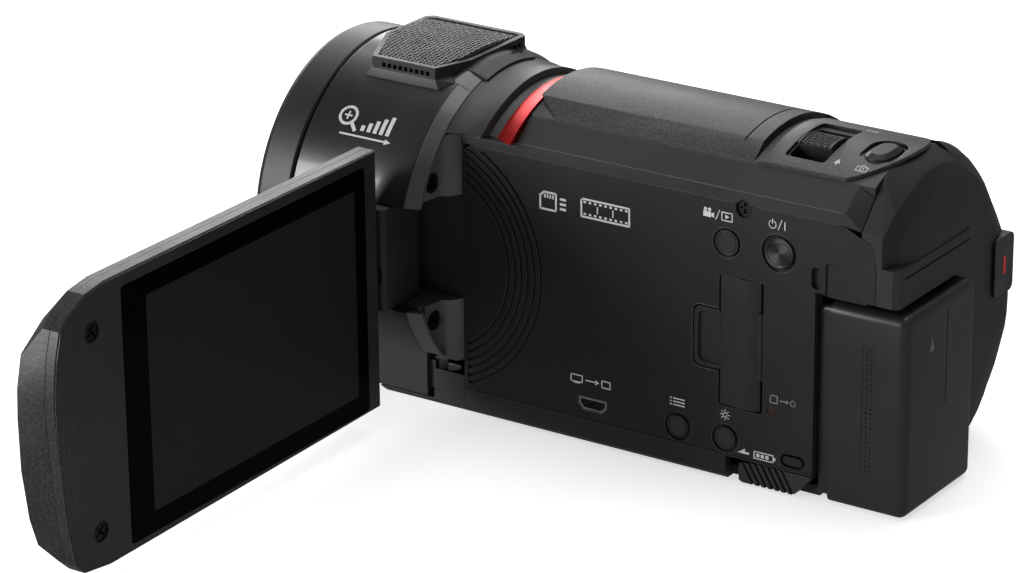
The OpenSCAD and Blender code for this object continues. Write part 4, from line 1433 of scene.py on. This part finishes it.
@dataclass
class HandStrap:
    """The webbing strap with its sewn pad on the right side."""

    shop: Workshop
    start: float = -26.6
    span: float = 75.0
    bow: float = 14.0
    flat: Flat = (0.0815, 0.0226)
    section: tuple[Flat, ...] = (
        (17.0, 0.3), (16.7, 0.9), (17.0, 1.5), (28.0, 1.65), (39.0, 1.5), (39.3, 0.9), (39.0, 0.3), (28.0, 0.25),
    )
    pad_middle: float = 27.6
    pad_start: float = 0.13
    pad_span: float = 0.74
    pad_width: float = 16.6
    pad_thickness: float = 1.55
    pad_depth: float = -1.75
    seam_margin: float = 3.0
    pressure: float = 1500.0
    stiffness: float = 3.0
    steps: int = 20

    def belt_line(self, t: float, out: float) -> Flat:
        """Gives a point of the belt's plan at a fraction of its run, moved outwards."""
        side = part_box("strap_lugs")[0].x / MM + 1.6
        return side - self.bow * math.sin(math.pi * t) - out, self.start + self.span * t

    def belt(self) -> None:
        """Weaves the belt as a ribbon of even thickness."""
        mesh = bmesh.new()
        rows = []
        for i in range(61):
            t = i / 60
            ring = []
            for v, out in self.section:
                x, y = self.belt_line(t, out)
                ring.append(mesh.verts.new(to_metres(x, y, v)))
            rows.append(ring)
        for first, second in zip(rows, rows[1:]):
            for k in range(len(self.section)):
                n = (k + 1) % len(self.section)
                mesh.faces.new((first[k], first[n], second[n], second[k]))
        mesh.faces.new(list(reversed(rows[0])))
        mesh.faces.new(rows[-1])
        belt = self.shop.add("strap_belt", mesh, "belt", "hand_strap", replaces=["hand_strap"])

    def stitches(self) -> None:
        """Sews two rows of stitches along the belt."""
        mesh = bmesh.new()
        for z in (18.3, 37.7):
            for i in range(8, 53):
                a = self.belt_line((i + 0.15) / 60, 1.62)
                b = self.belt_line((i + 0.75) / 60, 1.62)
                tube(mesh, [to_metres(a[0], a[1], z), to_metres(b[0], b[1], z)], 0.22, 6)
        self.shop.add("strap_stitches", mesh, "thread", "hand_strap")

    def pad(self) -> None:
        """Sews the pad as a crowned, stuffed form."""
        mesh = bmesh.new()
        along, around = 40, 24
        rings = []
        for i in range(along + 1):
            t = self.pad_start + self.pad_span * i / along
            end = math.sin(math.pi * min(1.0, max(0.0, i / along))) ** 0.3 if 0 < i < along else 0.0
            ring = []
            for k in range(around):
                a = 2 * math.pi * k / around
                across = math.copysign(abs(math.cos(a)) ** 0.6, math.cos(a)) * self.pad_width * (0.45 + 0.55 * end)
                thick = math.copysign(abs(math.sin(a)) ** 0.8, math.sin(a)) * self.pad_thickness * (0.25 + 0.75 * end)
                channel = 0.35 * math.exp(-((across / 2.2) ** 2)) if thick < 0 else 0.0
                x, y = self.belt_line(t, self.pad_depth + thick + channel)
                ring.append(mesh.verts.new(to_metres(x, y, self.pad_middle + across)))
            rings.append(ring)
        for first, second in zip(rings, rings[1:]):
            for k in range(around):
                n = (k + 1) % around
                mesh.faces.new((first[k], first[n], second[n], second[k]))
        mesh.faces.new(list(reversed(rings[0])))
        mesh.faces.new(rings[-1])
        pad = self.shop.add("strap_pad", mesh, "pad", "hand_pad", 60, replaces=["hand_pad"])
        self.fill(pad)
        smooth = pad.modifiers.new("soft form", "SUBSURF")
        smooth.levels = smooth.render_levels = 1

    def fill(self, pad: bpy.types.Object, reach: float = 0.9) -> None:
        """Fills the pad by a short cloth simulation between its sewn edges.

        Args:
            pad: The pad, whose mesh takes the result.
            reach: How far any point may move, in millimetres.
        """
        start = [vertex.co.copy() for vertex in pad.data.vertices]
        sewn = pad.vertex_groups.new(name="seams")
        ends = (min(point.y for point in start), max(point.y for point in start))
        for index, point in enumerate(start):
            across = abs(point.z / MM - self.pad_middle)
            if across > 14.5 or across < 0.8 or min(point.y - ends[0], ends[1] - point.y) < self.seam_margin * MM:
                sewn.add([index], 1.0, "REPLACE")
        cloth = pad.modifiers.new("stuffing", "CLOTH")
        cloth.settings.vertex_group_mass = "seams"
        cloth.settings.mass = 0.0003
        cloth.settings.use_pressure = True
        cloth.settings.uniform_pressure_force = self.pressure
        cloth.settings.effector_weights.gravity = 0.0
        cloth.settings.tension_stiffness = cloth.settings.compression_stiffness = self.stiffness
        cloth.point_cache.frame_start, cloth.point_cache.frame_end = 1, self.steps
        for step in range(1, self.steps + 1):
            bpy.context.scene.frame_set(step)
        settled = pad.evaluated_get(bpy.context.evaluated_depsgraph_get()).to_mesh()
        furthest = 0.0
        ends_at = [vertex.co.copy() for vertex in settled.vertices]
        for vertex, before, after in zip(pad.data.vertices, start, ends_at):
            move = after - before
            if move.length > reach * MM:
                move *= reach * MM / move.length
            vertex.co = before + move
            furthest = max(furthest, move.length)
        pad.modifiers.remove(cloth)
        LOG.info("filled %s, moving up to %.2f mm", pad.name, furthest / MM)
        bpy.context.scene.frame_set(1)

    def loops(self) -> None:
        """Bends the two wire loops that join the belt to its lugs."""
        mesh = bmesh.new()
        for t, side in ((0.02, -1), (0.98, 1)):
            x, y = self.belt_line(t, 0.9)
            loop = rounded((x - 1.3, 15.6), (x + 1.6, 40.3), 1.1)
            tube(mesh, [to_metres(u, y + 0.6 * side, v) for u, v in loop], 0.6, 8, True)
        self.shop.add("strap_loops", mesh, "dark_steel", "strap_lugs")

    def build(self) -> None:
        """Builds the whole strap."""
        self.belt()
        self.loops()
        self.stitches()
        self.pad()


@dataclass
class Studio:
    """The pale floor, the soft lights and the camera."""

    finishes: Finishes
    eye: tuple[float, float, float] = (658.579, 418.836, 330.988)
    heading: float = 33.2155
    tilt: float = 21.6092
    lean: float = -0.2037
    sensor: float = 36.0
    focal: float = 4241.97
    view_size: Flat = (1024.0, 573.0)
    view_centre: Flat = (570.358, 294.751)

    def floor(self) -> None:
        """Lays the pale floor."""
        mesh = bmesh.new()
        bmesh.ops.create_grid(mesh, x_segments=2, y_segments=2, size=6.0)
        data = bpy.data.meshes.new("floor")
        mesh.to_mesh(data)
        mesh.free()
        data.materials.append(self.finishes["paper"])
        floor = bpy.data.objects.new("floor", data)
        floor.location.z = -0.0002
        floor.visible_glossy = False
        bpy.context.scene.collection.objects.link(floor)

    def lamp(self, name: str, at: Sequence[float], target: Sequence[float], size: Flat, power: float) -> None:
        """Hangs one soft lamp.

        Args:
            name: Its name.
            at: Its place in metres.
            target: The point it faces, in metres.
            size: Its width and height in metres.
            power: Its power in watts.
        """
        light = bpy.data.lights.new(name, "AREA")
        light.shape = "RECTANGLE"
        light.size, light.size_y = size
        light.energy = power
        lamp = bpy.data.objects.new(name, light)
        lamp.location = at
        lamp.rotation_euler = (Vector(target) - Vector(at)).to_track_quat("-Z", "Y").to_euler()
        bpy.context.scene.collection.objects.link(lamp)

    def lights(self) -> None:
        """Sets the pale surroundings and the soft lamps."""
        world = bpy.data.worlds.new("surroundings")
        world.use_nodes = True
        background = world.node_tree.nodes["Background"]
        background.inputs["Color"].default_value = (1.0, 1.0, 1.0, 1.0)
        background.inputs["Strength"].default_value = 0.18
        bpy.context.scene.world = world
        self.lamp("overhead", (-0.35, -0.15, 1.05), (0.0, 0.0, 0.03), (0.9, 1.1), 8.5)
        self.lamp("far_side", (-0.62, -0.68, 0.34), (0.0, -0.02, 0.05), (0.6, 0.36), 3.6)
        self.lamp("front_left", (0.95, -0.72, 0.3), (0.0, -0.05, 0.03), (0.5, 0.5), 11.0)

    def camera(self) -> None:
        """Places the camera."""
        a, p, r = (math.radians(v) for v in (self.heading, self.tilt, self.lean))
        ahead = Vector((-math.cos(a) * math.cos(p), -math.sin(a) * math.cos(p), -math.sin(p)))
        right = ahead.cross(Vector((0, 0, 1))).normalized()
        up = right.cross(ahead)
        across = right * math.cos(r) + up * math.sin(r)
        upward = up * math.cos(r) - right * math.sin(r)
        data = bpy.data.cameras.new("camera")
        width, height = self.view_size
        data.sensor_width = self.sensor
        data.lens = self.focal * self.sensor / width
        data.shift_x = -(self.view_centre[0] - width / 2) / width
        data.shift_y = (self.view_centre[1] - height / 2) / width
        data.clip_start = 0.01
        camera = bpy.data.objects.new("camera", data)
        turn = Matrix((across, upward, -ahead)).transposed().to_4x4()
        camera.matrix_world = Matrix.Translation(Vector(self.eye) * MM) @ turn
        bpy.context.scene.collection.objects.link(camera)
        bpy.context.scene.camera = camera

    def build(self) -> None:
        """Builds the whole studio."""
        self.floor()
        self.lights()
        self.camera()


def main() -> None:
    """Builds every sub-assembly in order and logs each as it finishes."""
    logging.basicConfig(level=logging.INFO, format="%(message)s")
    bpy.context.scene.view_settings.view_transform = "Standard"
    finishes = Finishes()
    shop = Workshop(finishes)
    printer = Printer(shop)
    for assembly in (
        Studio(finishes), BodyShell(shop, printer), LensBarrel(shop, printer), Microphone(shop),
        DisplayHinge(shop), Display(shop), Controls(shop), BatteryPack(shop), HandStrap(shop),
    ):
        assembly.build()
        LOG.info("finished %s", type(assembly).__name__)


if __name__ == "__main__":
    main()
